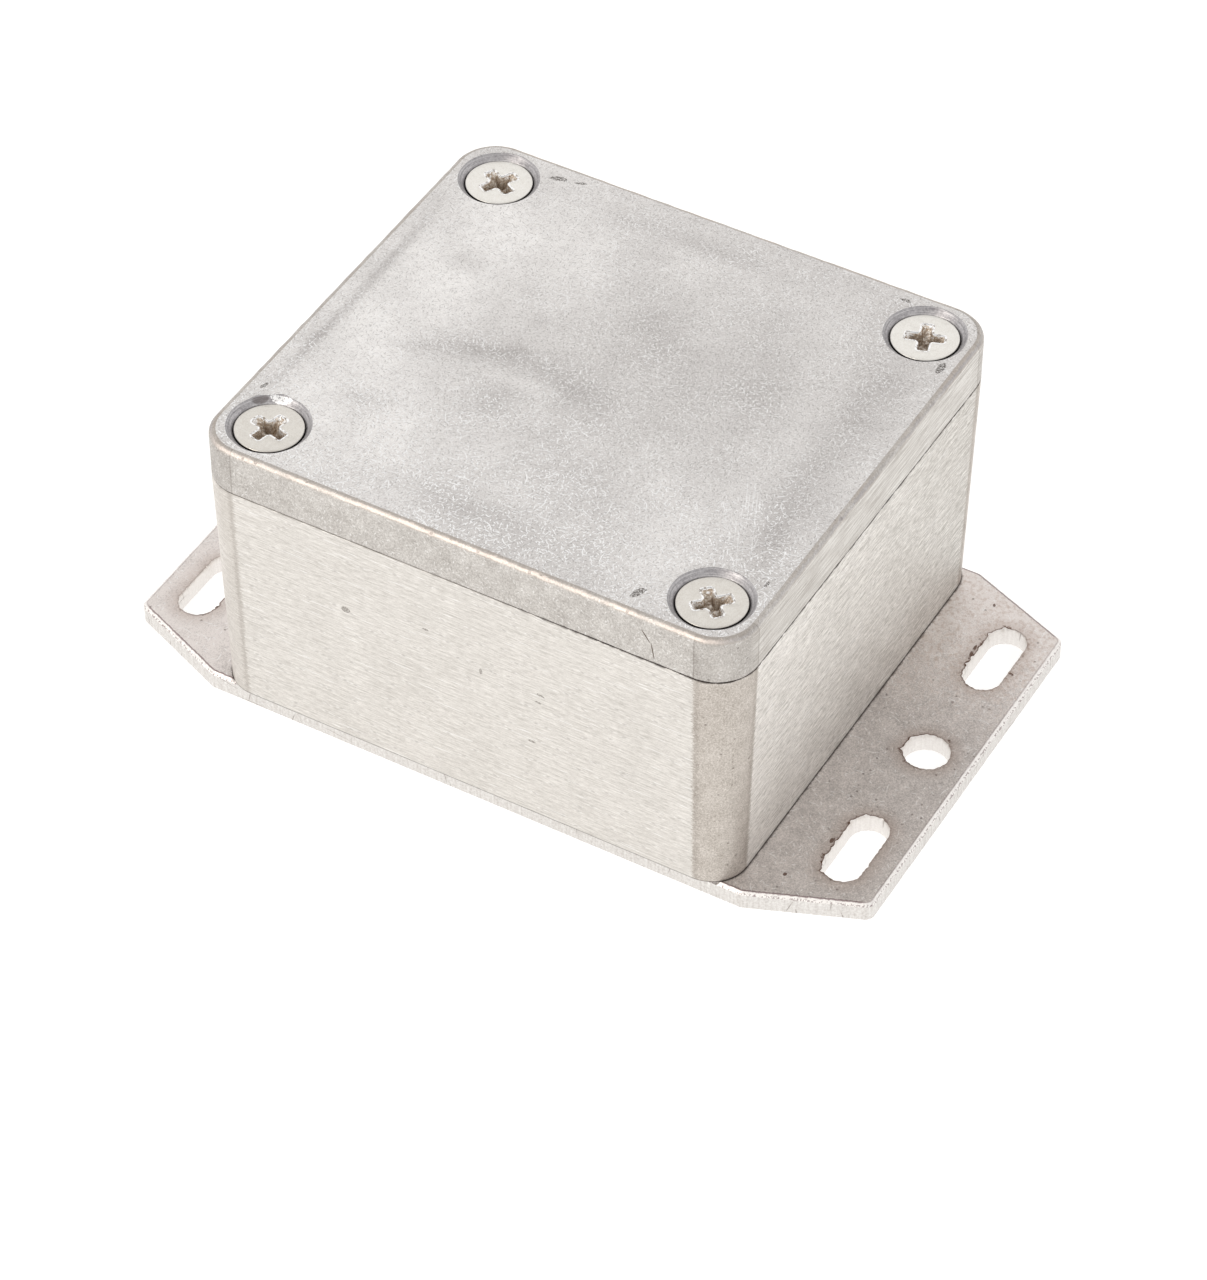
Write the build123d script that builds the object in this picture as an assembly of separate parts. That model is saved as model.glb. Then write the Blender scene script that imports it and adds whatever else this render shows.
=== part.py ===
"""Die cast aluminium box with a screwed lid and two mounting flanges cast on its floor.

The origin is at the middle of the underside. X runs across the box, from one long wall to the
other. Y runs along it, from flange to flange. Z points up, out of the lid. Millimetres and degrees.
"""
from build123d import *
import math
import os

# Outside of the box
body_width = 58.0            # across X, at the seam between base and lid
body_length = 64.0           # along Y, at the seam
overall_height = 37.6        # underside to lid top
lid_height = 5.65            # seam to lid top
corner_radius = 4.8          # upright corners, at the seam
body_draft = 1.2             # degrees that each outer wall leans in towards the floor
seam_edge_bevel = 0.2        # both rims, along the seam
lid_edge_radius = 0.75       # around the lid's top

# Base, inside
wall = 2.6                   # at the rim
floor_thickness = 2.6
cavity_draft = 1.0
cavity_corner_radius = 1.8   # where a wall meets a post, at the rim
cavity_floor_bevel = 0.8     # where the walls meet the floor
post_radius = 4.4            # round face of each corner post, about its screw

# Circuit board bosses on the floor
board_boss_spacing_x = 27.0
board_boss_spacing_y = 38.0
board_boss_dia = 6.0
board_boss_height = 4.0
board_screw_hole_dia = 2.5
board_screw_hole_depth = 5.0

# Mounting flanges
flange_thickness = 2.3
flange_step = 0.65           # foot of a long wall to the trimmed edge of the plate below it
shoulder_reach = 0.6         # end of the box to the start of a slanting end
shoulder_radius = 1.5
tip_radius = 1.2
flange_edge_bevel = 0.35

# Holes in the flanges
hole_line_offset = 8.0       # end of the box to the line of the holes
hole_line_to_end = 5.2       # line of the holes to the flange's outer end
slot_pitch_x = 32.4
slot_to_side = 6.4           # middle of a slot to the side of the flange's outer end
slot_width = 4.3
slot_length = 10.1           # end to end, along X
round_hole_dia = 5.0

# Lid, inside
lid_plate_thickness = 2.8
rib_clearance = 0.2          # lid rib to the base's cavity
rib_thickness = 1.2
rib_depth = 1.6              # below the seam

# Gasket and its groove in the lid's rim
gasket_width = 1.2
gasket_height = 1.1
gasket_side_clearance = 0.05
gasket_inset = 0.95          # cavity edge to the middle of the gasket

# Lid screws, M4 countersunk with a cross recess
screw_inset_x = 5.8          # long wall's outer face to the screw's axis
screw_inset_y = 5.9          # end wall's outer face to the screw's axis
screw_dia = 4.0
screw_length = 14.0          # head top to tip
screw_head_dia = 7.4
screw_head_rim = 0.3         # height of the head's upright rim
screw_head_drop = 0.7        # head top below the lid top
countersink_angle = 90.0
screw_turns = [45.5, 18.0, 76.6, 61.3]

# Cross recess in the screw heads
recess_span = 4.3            # tip to tip of the wings, at the head's top
recess_wing = 1.15           # width of a wing, at the head's top
recess_flare = 0.45          # slanting corner between two wings, at the head's top
recess_depth = 1.7
recess_foot_span = 2.3
recess_foot_wing = 0.8
recess_foot_flare = 0.3

# Screw holes
thread_clearance = 0.05      # around the thread, on the radius
lid_hole_dia = 4.6
head_gap = 0.2               # open ring around the head, on the radius
lid_mouth_dia = 8.8          # soft mouth of the countersink, at the lid top
tapped_hole_extra = 1.5      # hole below the screw's tip

# Worked out from the sizes above
seam_z = overall_height - lid_height
foot_width = body_width - 2 * (seam_z - flange_thickness) * math.tan(math.radians(body_draft))
flange_width = foot_width - 2 * flange_step
flange_tip_width = slot_pitch_x + 2 * slot_to_side
mount_pitch_y = body_length + 2 * hole_line_offset
flange_span = mount_pitch_y + 2 * hole_line_to_end
shoulder_y = body_length / 2 + shoulder_reach
screw_pitch_x = body_width - 2 * screw_inset_x
screw_pitch_y = body_length - 2 * screw_inset_y
head_top_z = overall_height - screw_head_drop
head_cone_slope = math.tan(math.radians(countersink_angle / 2))
corners = [(-1, -1), (1, -1), (-1, 1), (1, 1)]
screw_centres = [(sx * screw_pitch_x / 2, sy * screw_pitch_y / 2) for sx, sy in corners]


def on_level(sketch, z):
    """The sketch moved up to a height."""
    return Plane.XY.offset(z) * sketch


def body_block():
    """Block with rounded upright corners, walls that lean in towards the floor and a bevelled rim."""
    bevel_foot_z = seam_z - seam_edge_bevel
    levels = [
        (flange_thickness, (body_width - foot_width) / 2),
        (bevel_foot_z, seam_edge_bevel * math.tan(math.radians(body_draft))),
        (seam_z, seam_edge_bevel),
    ]
    sections = []
    for z, inset in levels:
        outline = RectangleRounded(body_width - 2 * inset, body_length - 2 * inset, corner_radius - inset)
        sections.append(on_level(outline, z))
    return loft(sections, ruled=True)


def cavity_outline(offset):
    """Face of the cavity's section, grown outwards by offset: a rectangle less four post corners."""
    half_x = body_width / 2 - wall + offset
    half_y = body_length / 2 - wall + offset
    post_x = screw_pitch_x / 2 - post_radius + offset
    post_y = screw_pitch_y / 2 - post_radius + offset
    quarter = [(half_x, post_y), (post_x, post_y), (post_x, half_y)]
    points = list(quarter)
    points += [(-x, y) for x, y in reversed(quarter)]
    points += [(-x, -y) for x, y in quarter]
    points += [(x, -y) for x, y in reversed(quarter)]
    face = make_face(Polyline(*points, close=True))
    posts = [v for v in face.vertices() if abs(abs(v.X) - post_x) < 1e-6 and abs(abs(v.Y) - post_y) < 1e-6]
    others = [v for v in face.vertices() if v not in posts]
    face = fillet(others, cavity_corner_radius + offset)
    posts = [v for v in face.vertices() if math.dist((abs(v.X), abs(v.Y)), (post_x, post_y)) < 1e-6]
    return fillet(posts, post_radius - offset)


def flange_outline():
    """Face of the floor plate: straight sides under the long walls, slanting ends, round corners."""
    half_width = flange_width / 2
    half_tip = flange_tip_width / 2
    half_span = flange_span / 2
    right = [(half_width, -shoulder_y), (half_width, shoulder_y), (half_tip, half_span)]
    left = [(-half_tip, half_span), (-half_width, shoulder_y), (-half_width, -shoulder_y)]
    ends = [(-half_tip, -half_span), (half_tip, -half_span)]
    face = make_face(Polyline(*right, *left, *ends, close=True))
    tips = [v for v in face.vertices() if abs(abs(v.Y) - half_span) < 1e-6]
    face = fillet(tips, tip_radius)
    shoulders = [v for v in face.vertices() if abs(abs(v.Y) - shoulder_y) < 1e-6]
    return fillet(shoulders, shoulder_radius)


def flange_plate():
    """Floor plate with a flange at each end and a bevel round its top edge."""
    face = flange_outline()
    bevel_foot_z = flange_thickness - flange_edge_bevel
    top = on_level(offset(face, -flange_edge_bevel), flange_thickness)
    bevelled = loft([on_level(face, bevel_foot_z), top], ruled=True)
    return extrude(face, amount=bevel_foot_z) + bevelled


def flange_holes():
    """Two slots and one round hole through each flange."""
    slot = SlotOverall(slot_length, slot_width)
    cuts = [Pos(sx * slot_pitch_x / 2, sy * mount_pitch_y / 2) * slot for sx, sy in corners]
    cuts += [Pos(0, sy * mount_pitch_y / 2) * Circle(round_hole_dia / 2) for sy in (-1, 1)]
    return [extrude(cut, amount=flange_thickness) for cut in cuts]


def cavity():
    """Inside of the base, narrower at the floor, with a bevelled foot."""
    bevel_top_z = floor_thickness + cavity_floor_bevel
    shrink = (seam_z - bevel_top_z) * math.tan(math.radians(cavity_draft))
    floor = on_level(cavity_outline(-shrink - cavity_floor_bevel), floor_thickness)
    bevel_top = on_level(cavity_outline(-shrink), bevel_top_z)
    rim = on_level(cavity_outline(0), seam_z)
    return loft([floor, bevel_top, rim], ruled=True)


def post(radius, height, top_z):
    """Upright cylinder about Z that ends at a height."""
    return Pos(0, 0, top_z - height / 2) * Cylinder(radius, height)


def base_casting():
    """Box body, floor plate and flanges in one casting, with its cavity and tapped holes."""
    casting = body_block() + flange_plate()
    casting -= cavity()
    boss_top = floor_thickness + board_boss_height
    boss = post(board_boss_dia / 2, board_boss_height, boss_top)
    boss_hole = post(board_screw_hole_dia / 2, board_screw_hole_depth, boss_top)
    for sx, sy in corners:
        place = Pos(sx * board_boss_spacing_x / 2, sy * board_boss_spacing_y / 2)
        casting += place * boss
        casting -= place * boss_hole
    tapped_floor = head_top_z - screw_length - tapped_hole_extra
    tapped = post(screw_dia / 2 + thread_clearance, seam_z - tapped_floor, seam_z)
    for x, y in screw_centres:
        casting -= Pos(x, y) * tapped
    for cut in flange_holes():
        casting -= cut
    return casting


def revolved(profile):
    """Solid turned about Z from a profile of radius and height pairs."""
    return revolve(make_face(Plane.XZ * Polyline(*profile, close=True)), Axis.Z)


def head_cone_z(radius):
    """Height at which the cone of the countersunk head has a radius."""
    return head_top_z - screw_head_rim - (screw_head_dia / 2 - radius) / head_cone_slope


def lid_screw_hole():
    """Cutter for one screw hole: soft mouth, seat cone and clearance hole."""
    seat_radius = screw_head_dia / 2 + head_gap
    hole_radius = lid_hole_dia / 2
    profile = [
        (0, overall_height),
        (lid_mouth_dia / 2, overall_height),
        (seat_radius, head_cone_z(seat_radius)),
        (hole_radius, head_cone_z(hole_radius)),
        (hole_radius, seam_z),
        (0, seam_z),
    ]
    return revolved(profile)


def rib_ring():
    """Locating rib under the lid that enters the base's cavity."""
    outer = cavity_outline(-rib_clearance)
    inner = cavity_outline(-rib_clearance - rib_thickness)
    return extrude(on_level(outer - inner, seam_z - rib_depth), amount=rib_depth)


def gasket_ring(width, height):
    """Closed strip that follows the rim round the cavity and inside the screws."""
    outer = cavity_outline(gasket_inset + width / 2)
    inner = cavity_outline(gasket_inset - width / 2)
    return extrude(on_level(outer - inner, seam_z), amount=height)


def lid():
    """Lid: a plate with a rim, a locating rib, a gasket groove and four countersunk holes."""
    block = extrude(on_level(RectangleRounded(body_width, body_length, corner_radius), seam_z), amount=lid_height)
    block = fillet(block.faces().sort_by(Axis.Z)[-1].outer_wire().edges(), lid_edge_radius)
    block = chamfer(block.faces().sort_by(Axis.Z)[0].outer_wire().edges(), seam_edge_bevel)
    pocket = cavity_outline(-rib_clearance - rib_thickness)
    block -= extrude(on_level(pocket, seam_z), amount=lid_height - lid_plate_thickness)
    block += rib_ring()
    block -= gasket_ring(gasket_width + 2 * gasket_side_clearance, gasket_height)
    hole = lid_screw_hole()
    for x, y in screw_centres:
        block -= Pos(x, y) * hole
    return block


def cross(span, wing, flare, z):
    """Face of a cross whose inner corners are cut slanting, at a height."""
    arms = Rectangle(span, wing) + Rectangle(wing, span)
    inner = [v for v in arms.vertices() if max(abs(v.X), abs(v.Y)) < span / 2 - 1e-6]
    return on_level(chamfer(inner, flare), z)


def cross_recess():
    """Cutter for the cross recess: four wings that narrow as they go down."""
    top = cross(recess_span, recess_wing, recess_flare, head_top_z)
    foot = cross(recess_foot_span, recess_foot_wing, recess_foot_flare, head_top_z - recess_depth)
    return loft([foot, top], ruled=True)


def lid_screw(turn):
    """Countersunk screw with its cross recess turned by an angle."""
    head_radius = screw_head_dia / 2
    shank_radius = screw_dia / 2
    tip_z = head_top_z - screw_length
    profile = [
        (0, head_top_z),
        (head_radius, head_top_z),
        (head_radius, head_cone_z(head_radius)),
        (shank_radius, head_cone_z(shank_radius)),
        (shank_radius, tip_z),
        (0, tip_z),
    ]
    return revolved(profile) - Rot(0, 0, turn) * cross_recess()


os.makedirs("parts", exist_ok=True)
export_step(base_casting(), "parts/base_casting.step")
export_step(lid(), "parts/lid.step")
export_step(gasket_ring(gasket_width, gasket_height), "parts/lid_gasket.step")
for number, ((x, y), turn) in enumerate(zip(screw_centres, screw_turns), 1):
    export_step(Pos(x, y) * lid_screw(turn), f"parts/lid_screw_{number}.step")
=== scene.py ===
# %% [markdown]
# # A die cast aluminium box, dressed in Blender
# The imported CAD part gives the frame: seven pieces at their real places. This script makes the
# surfaces that a camera sees: a tumbled lid, sanded walls, as-cast flanges with sheared edges, and
# nickel plated screws. It loads the frame first and keeps its box.

# %% Load the imported part
import math
import bmesh
import bpy
import numpy as np
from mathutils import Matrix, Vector
from mathutils.geometry import delaunay_2d_cdt


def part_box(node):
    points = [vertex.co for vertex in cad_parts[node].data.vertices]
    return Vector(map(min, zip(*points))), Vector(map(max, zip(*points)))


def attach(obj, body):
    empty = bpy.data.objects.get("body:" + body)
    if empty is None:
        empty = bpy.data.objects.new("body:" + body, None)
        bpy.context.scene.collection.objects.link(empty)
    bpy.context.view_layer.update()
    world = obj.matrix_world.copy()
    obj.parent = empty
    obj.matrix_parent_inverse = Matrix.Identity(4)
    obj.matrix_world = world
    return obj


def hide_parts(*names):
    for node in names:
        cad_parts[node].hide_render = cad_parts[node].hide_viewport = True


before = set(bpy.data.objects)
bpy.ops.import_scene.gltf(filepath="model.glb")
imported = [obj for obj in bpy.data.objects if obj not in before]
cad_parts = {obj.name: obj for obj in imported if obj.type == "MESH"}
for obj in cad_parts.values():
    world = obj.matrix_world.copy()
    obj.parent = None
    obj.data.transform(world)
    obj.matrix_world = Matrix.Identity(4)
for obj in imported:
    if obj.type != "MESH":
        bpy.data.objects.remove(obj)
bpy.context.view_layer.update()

print("CAD nodes:", sorted(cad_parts))

# %% [markdown]
# ## Sizes
# What the frame can tell is read from it: the outside of the lid and the base, and where each screw
# stands. The rest are the box's own smaller sizes, such as its radii and bevels, in millimetres.
# Shapes are worked out in millimetres and become metres when a mesh is made.

# %% Sizes of the box
MM = 0.001                   # one millimetre, in Blender's metres


def box_mm(name):
    """Lowest and highest corner of a CAD node in millimetres."""
    return [np.round(np.array(corner) / MM, 3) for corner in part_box(name)]


lid_low, lid_high = box_mm("lid")
base_low, base_high = box_mm("base_casting")
body_width = lid_high[0] - lid_low[0]
body_length = lid_high[1] - lid_low[1]
lid_top = lid_high[2]
seam_z = base_high[2]
flange_span = base_high[1] - base_low[1]

corner_radius = 4.8
body_draft = 1.2             # degrees that the walls lean in towards the floor
seam_edge = 0.15             # worn edge along the seam
seam_gap = 0.1               # the gasket keeps the lid this far off the outer rim of the base
seam_gap_depth = 0.9
lid_edge_radius = 0.75
wall = 2.6
floor_z = 2.6
cavity_draft = 1.0
cavity_corner_radius = 1.8
cavity_floor_bevel = 0.8
post_radius = 4.4

plate_top = 2.3              # top of the floor plate and the flanges
plate_width = 55.455         # across the plate, between the two long walls' feet
plate_tip_width = 45.2
plate_bevel = 0.35
plate_foot_bevel = 0.1
shoulder_y = 32.6            # where the plate's slanting ends start
shoulder_radius = 1.5
tip_radius = 1.2

screw_boxes = [box_mm(f"lid_screw_{number}") for number in (1, 2, 3, 4)]
screw_centres = [np.round((low + high)[:2] / 2, 2) for low, high in screw_boxes]
head_rise = 0.2              # the photo shows the heads this much higher than the frame has them
screw_top = screw_boxes[0][1][2] + head_rise
screw_tip = screw_boxes[0][0][2]
head_radius = round((screw_boxes[0][1][0] - screw_boxes[0][0][0]) / 2, 2)
head_rim = 0.3               # upright part of the head
screw_x, screw_y = np.abs(screw_centres[0])
lid_mouth_radius = 4.42
seat_radius = 3.8
hole_y = 40.0                # line of the slots and the round hole in each flange
print("box", body_width, "x", body_length, "mm, top at", lid_top, "mm, seam at", seam_z, "mm")
print("screws at", [tuple(centre) for centre in screw_centres])
print("heads of", head_radius, "mm radius, top at", screw_top, "mm")

# %% [markdown]
# ## Closed paths
# Every outline of the box is a polygon with round corners: the lid, the plate, the cavity that goes
# round the four posts, the slots. A path is held as an array with one row a point: x, y and the
# direction that points out of the metal or the hole. A surface is then a profile carried along it.

# %% Paths with round corners
def rounded_path(corners, radii, step=1.0, arc_count=12):
    """Closed path round a polygon given anticlockwise, as rows of x, y, outward x, outward y.

    At each corner an arc touches both sides: its centre lies a radius away from each, on the inner
    side of a corner that bulges and on the outer side of one that goes in. The straight stretches
    between arcs are cut into equal pieces of about the step.
    """
    corners = np.asarray(corners, float)
    radii = np.broadcast_to(radii, len(corners))
    before = corners - np.roll(corners, 1, axis=0)
    before /= np.linalg.norm(before, axis=1, keepdims=True)
    after = np.roll(before, -1, axis=0)
    turn = np.arctan2(before[:, 0] * after[:, 1] - before[:, 1] * after[:, 0], (before * after).sum(1))
    reach = (radii * np.tan(np.abs(turn) / 2))[:, None]
    starts = corners - before * reach
    ends = corners + after * reach
    rows = []
    for k, (start, end, heading) in enumerate(zip(starts, ends, before)):
        out = np.array([heading[1], -heading[0]])
        side = math.copysign(1.0, turn[k])
        angles = turn[k] * np.linspace(0, 1, arc_count + 1)[:, None]
        normals = out * np.cos(angles) + heading * np.sin(angles)
        arc = start - side * radii[k] * out + side * radii[k] * normals
        rows.append(np.hstack([arc, normals]))
        following = starts[(k + 1) % len(corners)]
        pieces = 1 if step is None else max(1, round(np.linalg.norm(following - end) / step))
        shares = (np.arange(1, pieces) / pieces)[:, None]
        straight = end + (following - end) * shares
        rows.append(np.hstack([straight, np.repeat(normals[-1:], pieces - 1, 0)]))
    path = np.vstack(rows)
    gaps = np.linalg.norm(path[:, :2] - np.roll(path[:, :2], 1, axis=0), axis=1)
    return path[gaps > 1e-6]


def circle_path(centre, radius, count=64):
    """Circle as a path: the outward direction is the radius itself."""
    angles = np.linspace(0, 2 * math.pi, count, endpoint=False)
    normals = np.stack([np.cos(angles), np.sin(angles)], 1)
    return np.hstack([np.asarray(centre) + radius * normals, normals])


def rectangle_corners(width, length):
    """Corners of a rectangle about the origin, anticlockwise."""
    x = width / 2
    y = length / 2
    return [(-x, -y), (x, -y), (x, y), (-x, y)]


def at_offset(path, offset):
    """Points of a path moved outwards."""
    return path[:, :2] + path[:, 2:] * offset


def arc_length(ring):
    """Distance along a closed ring to each of its points, and once round at the end."""
    steps = np.linalg.norm(np.roll(ring, -1, axis=0) - ring, axis=1)
    return np.concatenate([[0.0], np.cumsum(steps)])


def with_crossings(path_a, offset_a, path_b, offset_b):
    """Both paths with a point added wherever one crosses the other, at these offsets.

    A point of segment a is a + t * along_a, and it lies on segment b where the cross product with
    along_b vanishes. Both paths get the point at the same place, so their surfaces weld there.
    """
    a = at_offset(path_a, offset_a)
    b = at_offset(path_b, offset_b)
    along_a = (np.roll(a, -1, axis=0) - a)[:, None]
    along_b = (np.roll(b, -1, axis=0) - b)[None]
    apart = b[None] - a[:, None]
    with np.errstate(divide="ignore", invalid="ignore"):
        area = along_a[..., 0] * along_b[..., 1] - along_a[..., 1] * along_b[..., 0]
        t = (apart[..., 0] * along_b[..., 1] - apart[..., 1] * along_b[..., 0]) / area
        s = (apart[..., 0] * along_a[..., 1] - apart[..., 1] * along_a[..., 0]) / area
    hit_a, hit_b = np.nonzero((t > 0) & (t < 1) & (s > 0) & (s < 1))
    longer = []
    for path, at, share in ((path_a, hit_a, t[hit_a, hit_b]), (path_b, hit_b, s[hit_a, hit_b])):
        following = np.roll(path, -1, axis=0)
        added = path[at] + (following[at] - path[at]) * share[:, None]
        longer.append(np.insert(path, at + 1, added, axis=0))
    return longer


body_path = rounded_path(rectangle_corners(body_width, body_length), corner_radius)
print("lid outline:", len(body_path), "points,", round(arc_length(body_path[:, :2])[-1], 1), "mm round")

# %% [markdown]
# ## Unevenness
# Cast and sheared metal is never quite flat or straight. Two fields give that: waves over an area,
# for a surface that swells and sinks by hundredths of a millimetre, and a ripple along a closed
# edge, for one that was sheared. Both are sums of sines with seeded directions, so they come out
# the same on each run.

# %% Waves and ripples
def waves(x, y, wavelength, seed, count=10):
    """Uneven field of about -1 to 1: the scaled mean of plane waves in random directions."""
    rng = np.random.default_rng(seed)
    heading = rng.uniform(0, 2 * math.pi, count)
    number = 2 * math.pi / (wavelength * rng.uniform(0.6, 1.6, count))
    phase = rng.uniform(0, 2 * math.pi, count)
    across = np.asarray(x)[..., None] * np.cos(heading) + np.asarray(y)[..., None] * np.sin(heading)
    return 2 * np.sin(number * across + phase).mean(-1)


def ripple(path, wavelength, seed, count=14):
    """Uneven line of about -1 to 1 along a closed path: sines that fit whole times round it."""
    rng = np.random.default_rng(seed)
    lengths = arc_length(path[:, :2])
    turns = np.maximum(1, np.round(lengths[-1] / (wavelength * rng.uniform(0.5, 1.8, count))))
    phase = rng.uniform(0, 2 * math.pi, count)
    share = lengths[:-1, None] / lengths[-1]
    return 2 * np.sin(2 * math.pi * turns * share + phase).mean(-1)


def smooth_step(value, low, high):
    """0 below low, 1 above high and an even curve between them."""
    t = np.clip((value - low) / (high - low), 0, 1)
    return t * t * (3 - 2 * t)


edge_ripple = ripple(body_path, 3, 1)
print(f"a ripple round the box goes from {edge_ripple.min():.2f} to {edge_ripple.max():.2f}")

# %% [markdown]
# ## Surfaces
# Two kinds of surface make every piece. A band is a profile carried along a closed path: a grid of
# levels and points. A cap fills a level between rings with triangles whose inner points lie on a
# fine grid, so it can swell and sink. Each carries a map in millimetres, so that a finish such as
# sanding runs along the wall it was sanded on.

# %% Bands and caps
def skin(rows, material):
    """Grid surface through rows of points, closed along each row, with its map in millimetres."""
    rows = np.asarray(rows, float)
    levels, count = rows.shape[:2]
    numbers = np.arange(levels * count).reshape(levels, count)
    right = np.roll(numbers, -1, axis=1)
    faces = np.stack([numbers[:-1], right[:-1], right[1:], numbers[1:]], -1).reshape(-1, 4)
    along = arc_length(rows[levels // 2])
    up = np.concatenate([[0.0], np.cumsum(np.linalg.norm(np.diff(rows, axis=0), axis=2).mean(1))])
    u, v = np.meshgrid(along, up)
    grid = np.stack([u, v], -1)
    uv = np.stack([grid[:-1, :-1], grid[:-1, 1:], grid[1:, 1:], grid[1:, :-1]], 2).reshape(-1, 4, 2)
    return {"points": rows.reshape(-1, 3), "faces": faces, "uv": uv, "material": material}


def band_rows(path, profile, extra=None):
    """Rows of a profile carried along a path: each point moves out by the profile's offset."""
    offsets, heights = np.asarray(profile, float).T
    offsets = np.broadcast_to(offsets[:, None] + (0 if extra is None else extra), (len(heights), len(path)))
    xy = path[None, :, :2] + path[None, :, 2:] * offsets[..., None]
    z = np.broadcast_to(heights[:, None, None], (*xy.shape[:2], 1))
    return np.concatenate([xy, z], 2)


def inside(points, ring):
    """True for points inside a closed ring: a ray to the right crosses it an odd number of times."""
    x, y = points[:, :1], points[:, 1:2]
    ax, ay = ring[:, 0], ring[:, 1]
    bx, by = np.roll(ax, -1), np.roll(ay, -1)
    spans = (ay > y) != (by > y)
    with np.errstate(divide="ignore", invalid="ignore"):
        meets = x < (bx - ax) * (y - ay) / (by - ay) + ax
    return (spans & meets).sum(1) % 2 == 1


def between(flags):
    """Inside the first ring and outside every other."""
    return flags[0] & ~flags[1:].any(0)


def cap(rings, height, facing, material, spacing=3.0, relief=None, fade=3.0, keep=between):
    """Triangles that fill a level between rings, facing up (1) or down (-1).

    Points on a grid of near-equal triangles are added inside. They rise by the relief's height, which
    fades to nothing towards the rings, so the edge stays where the neighbouring band has it.
    """
    flat = np.vstack([ring[:, :2] for ring in rings])
    low, high = flat.min(0), flat.max(0)
    rows = np.arange(low[1] + spacing / 2, high[1], spacing * math.sqrt(0.75))
    columns = np.arange(low[0] + spacing / 4, high[0], spacing)
    grid = np.stack(np.meshgrid(columns, rows), -1)
    grid[1::2, :, 0] += spacing / 2
    grid = grid.reshape(-1, 2)
    grid = grid[keep(np.array([inside(grid, ring) for ring in rings]))]
    near = np.linalg.norm(grid[:, None] - flat[None], axis=2).min(1)
    grid = grid[near > spacing * 0.55]
    near = near[near > spacing * 0.55]
    starts = np.cumsum([0] + [len(ring) for ring in rings])
    edges = []
    for start, ring in zip(starts, rings):
        numbers = np.arange(len(ring))
        edges += (np.stack([numbers, (numbers + 1) % len(ring)], 1) + start).tolist()
    given = [Vector(point) for point in np.vstack([flat, grid]).tolist()]
    points, _, faces, origins, _, _ = delaunay_2d_cdt(given, edges, [], 0, 1e-5, True)
    points = np.array([tuple(point) for point in points])
    faces = np.array(faces)
    middles = points[faces].mean(1)
    faces = faces[keep(np.array([inside(middles, ring) for ring in rings]))]
    a, b, c = (points[faces[:, k]] for k in range(3))
    area = (b[:, 0] - a[:, 0]) * (c[:, 1] - a[:, 1]) - (b[:, 1] - a[:, 1]) * (c[:, 0] - a[:, 0])
    real = np.abs(area) > 1e-5
    faces = np.where((area * facing > 0)[:, None], faces, faces[:, ::-1])[real]
    z = np.full(len(points), float(height))
    ring_heights = np.concatenate([ring[:, 2] for ring in rings])
    first = np.array([origin[0] if len(origin) else -1 for origin in origins])
    on_ring = (first >= 0) & (first < len(flat))
    z[on_ring] = ring_heights[first[on_ring]]
    if relief is not None and len(grid):
        in_grid = first >= len(flat)
        depth = smooth_step(near[first[in_grid] - len(flat)], 0, fade)
        z[in_grid] += relief(points[in_grid, 0], points[in_grid, 1]) * depth
    points = np.column_stack([points, z])
    return {"points": points, "faces": faces, "uv": points[faces][..., :2], "material": material}


# %% [markdown]
# ## From surfaces to a piece
# The surfaces of a piece are laid out with shared edges, so welding their points closes the shell.
# Faces that meet at a small angle are shaded as one smooth surface, and a real edge stays sharp.
# The script prints how many edges are left open, which is none on a closed piece.

# %% Weld surfaces into one closed piece
WELD = 2e-6                  # metres; points nearer than this are one point
SHARP = math.radians(32)


def in_scene(name, data):
    """Object with this data, at the origin of the scene."""
    made = bpy.data.objects.new(name, data)
    bpy.context.scene.collection.objects.link(made)
    return made


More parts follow.
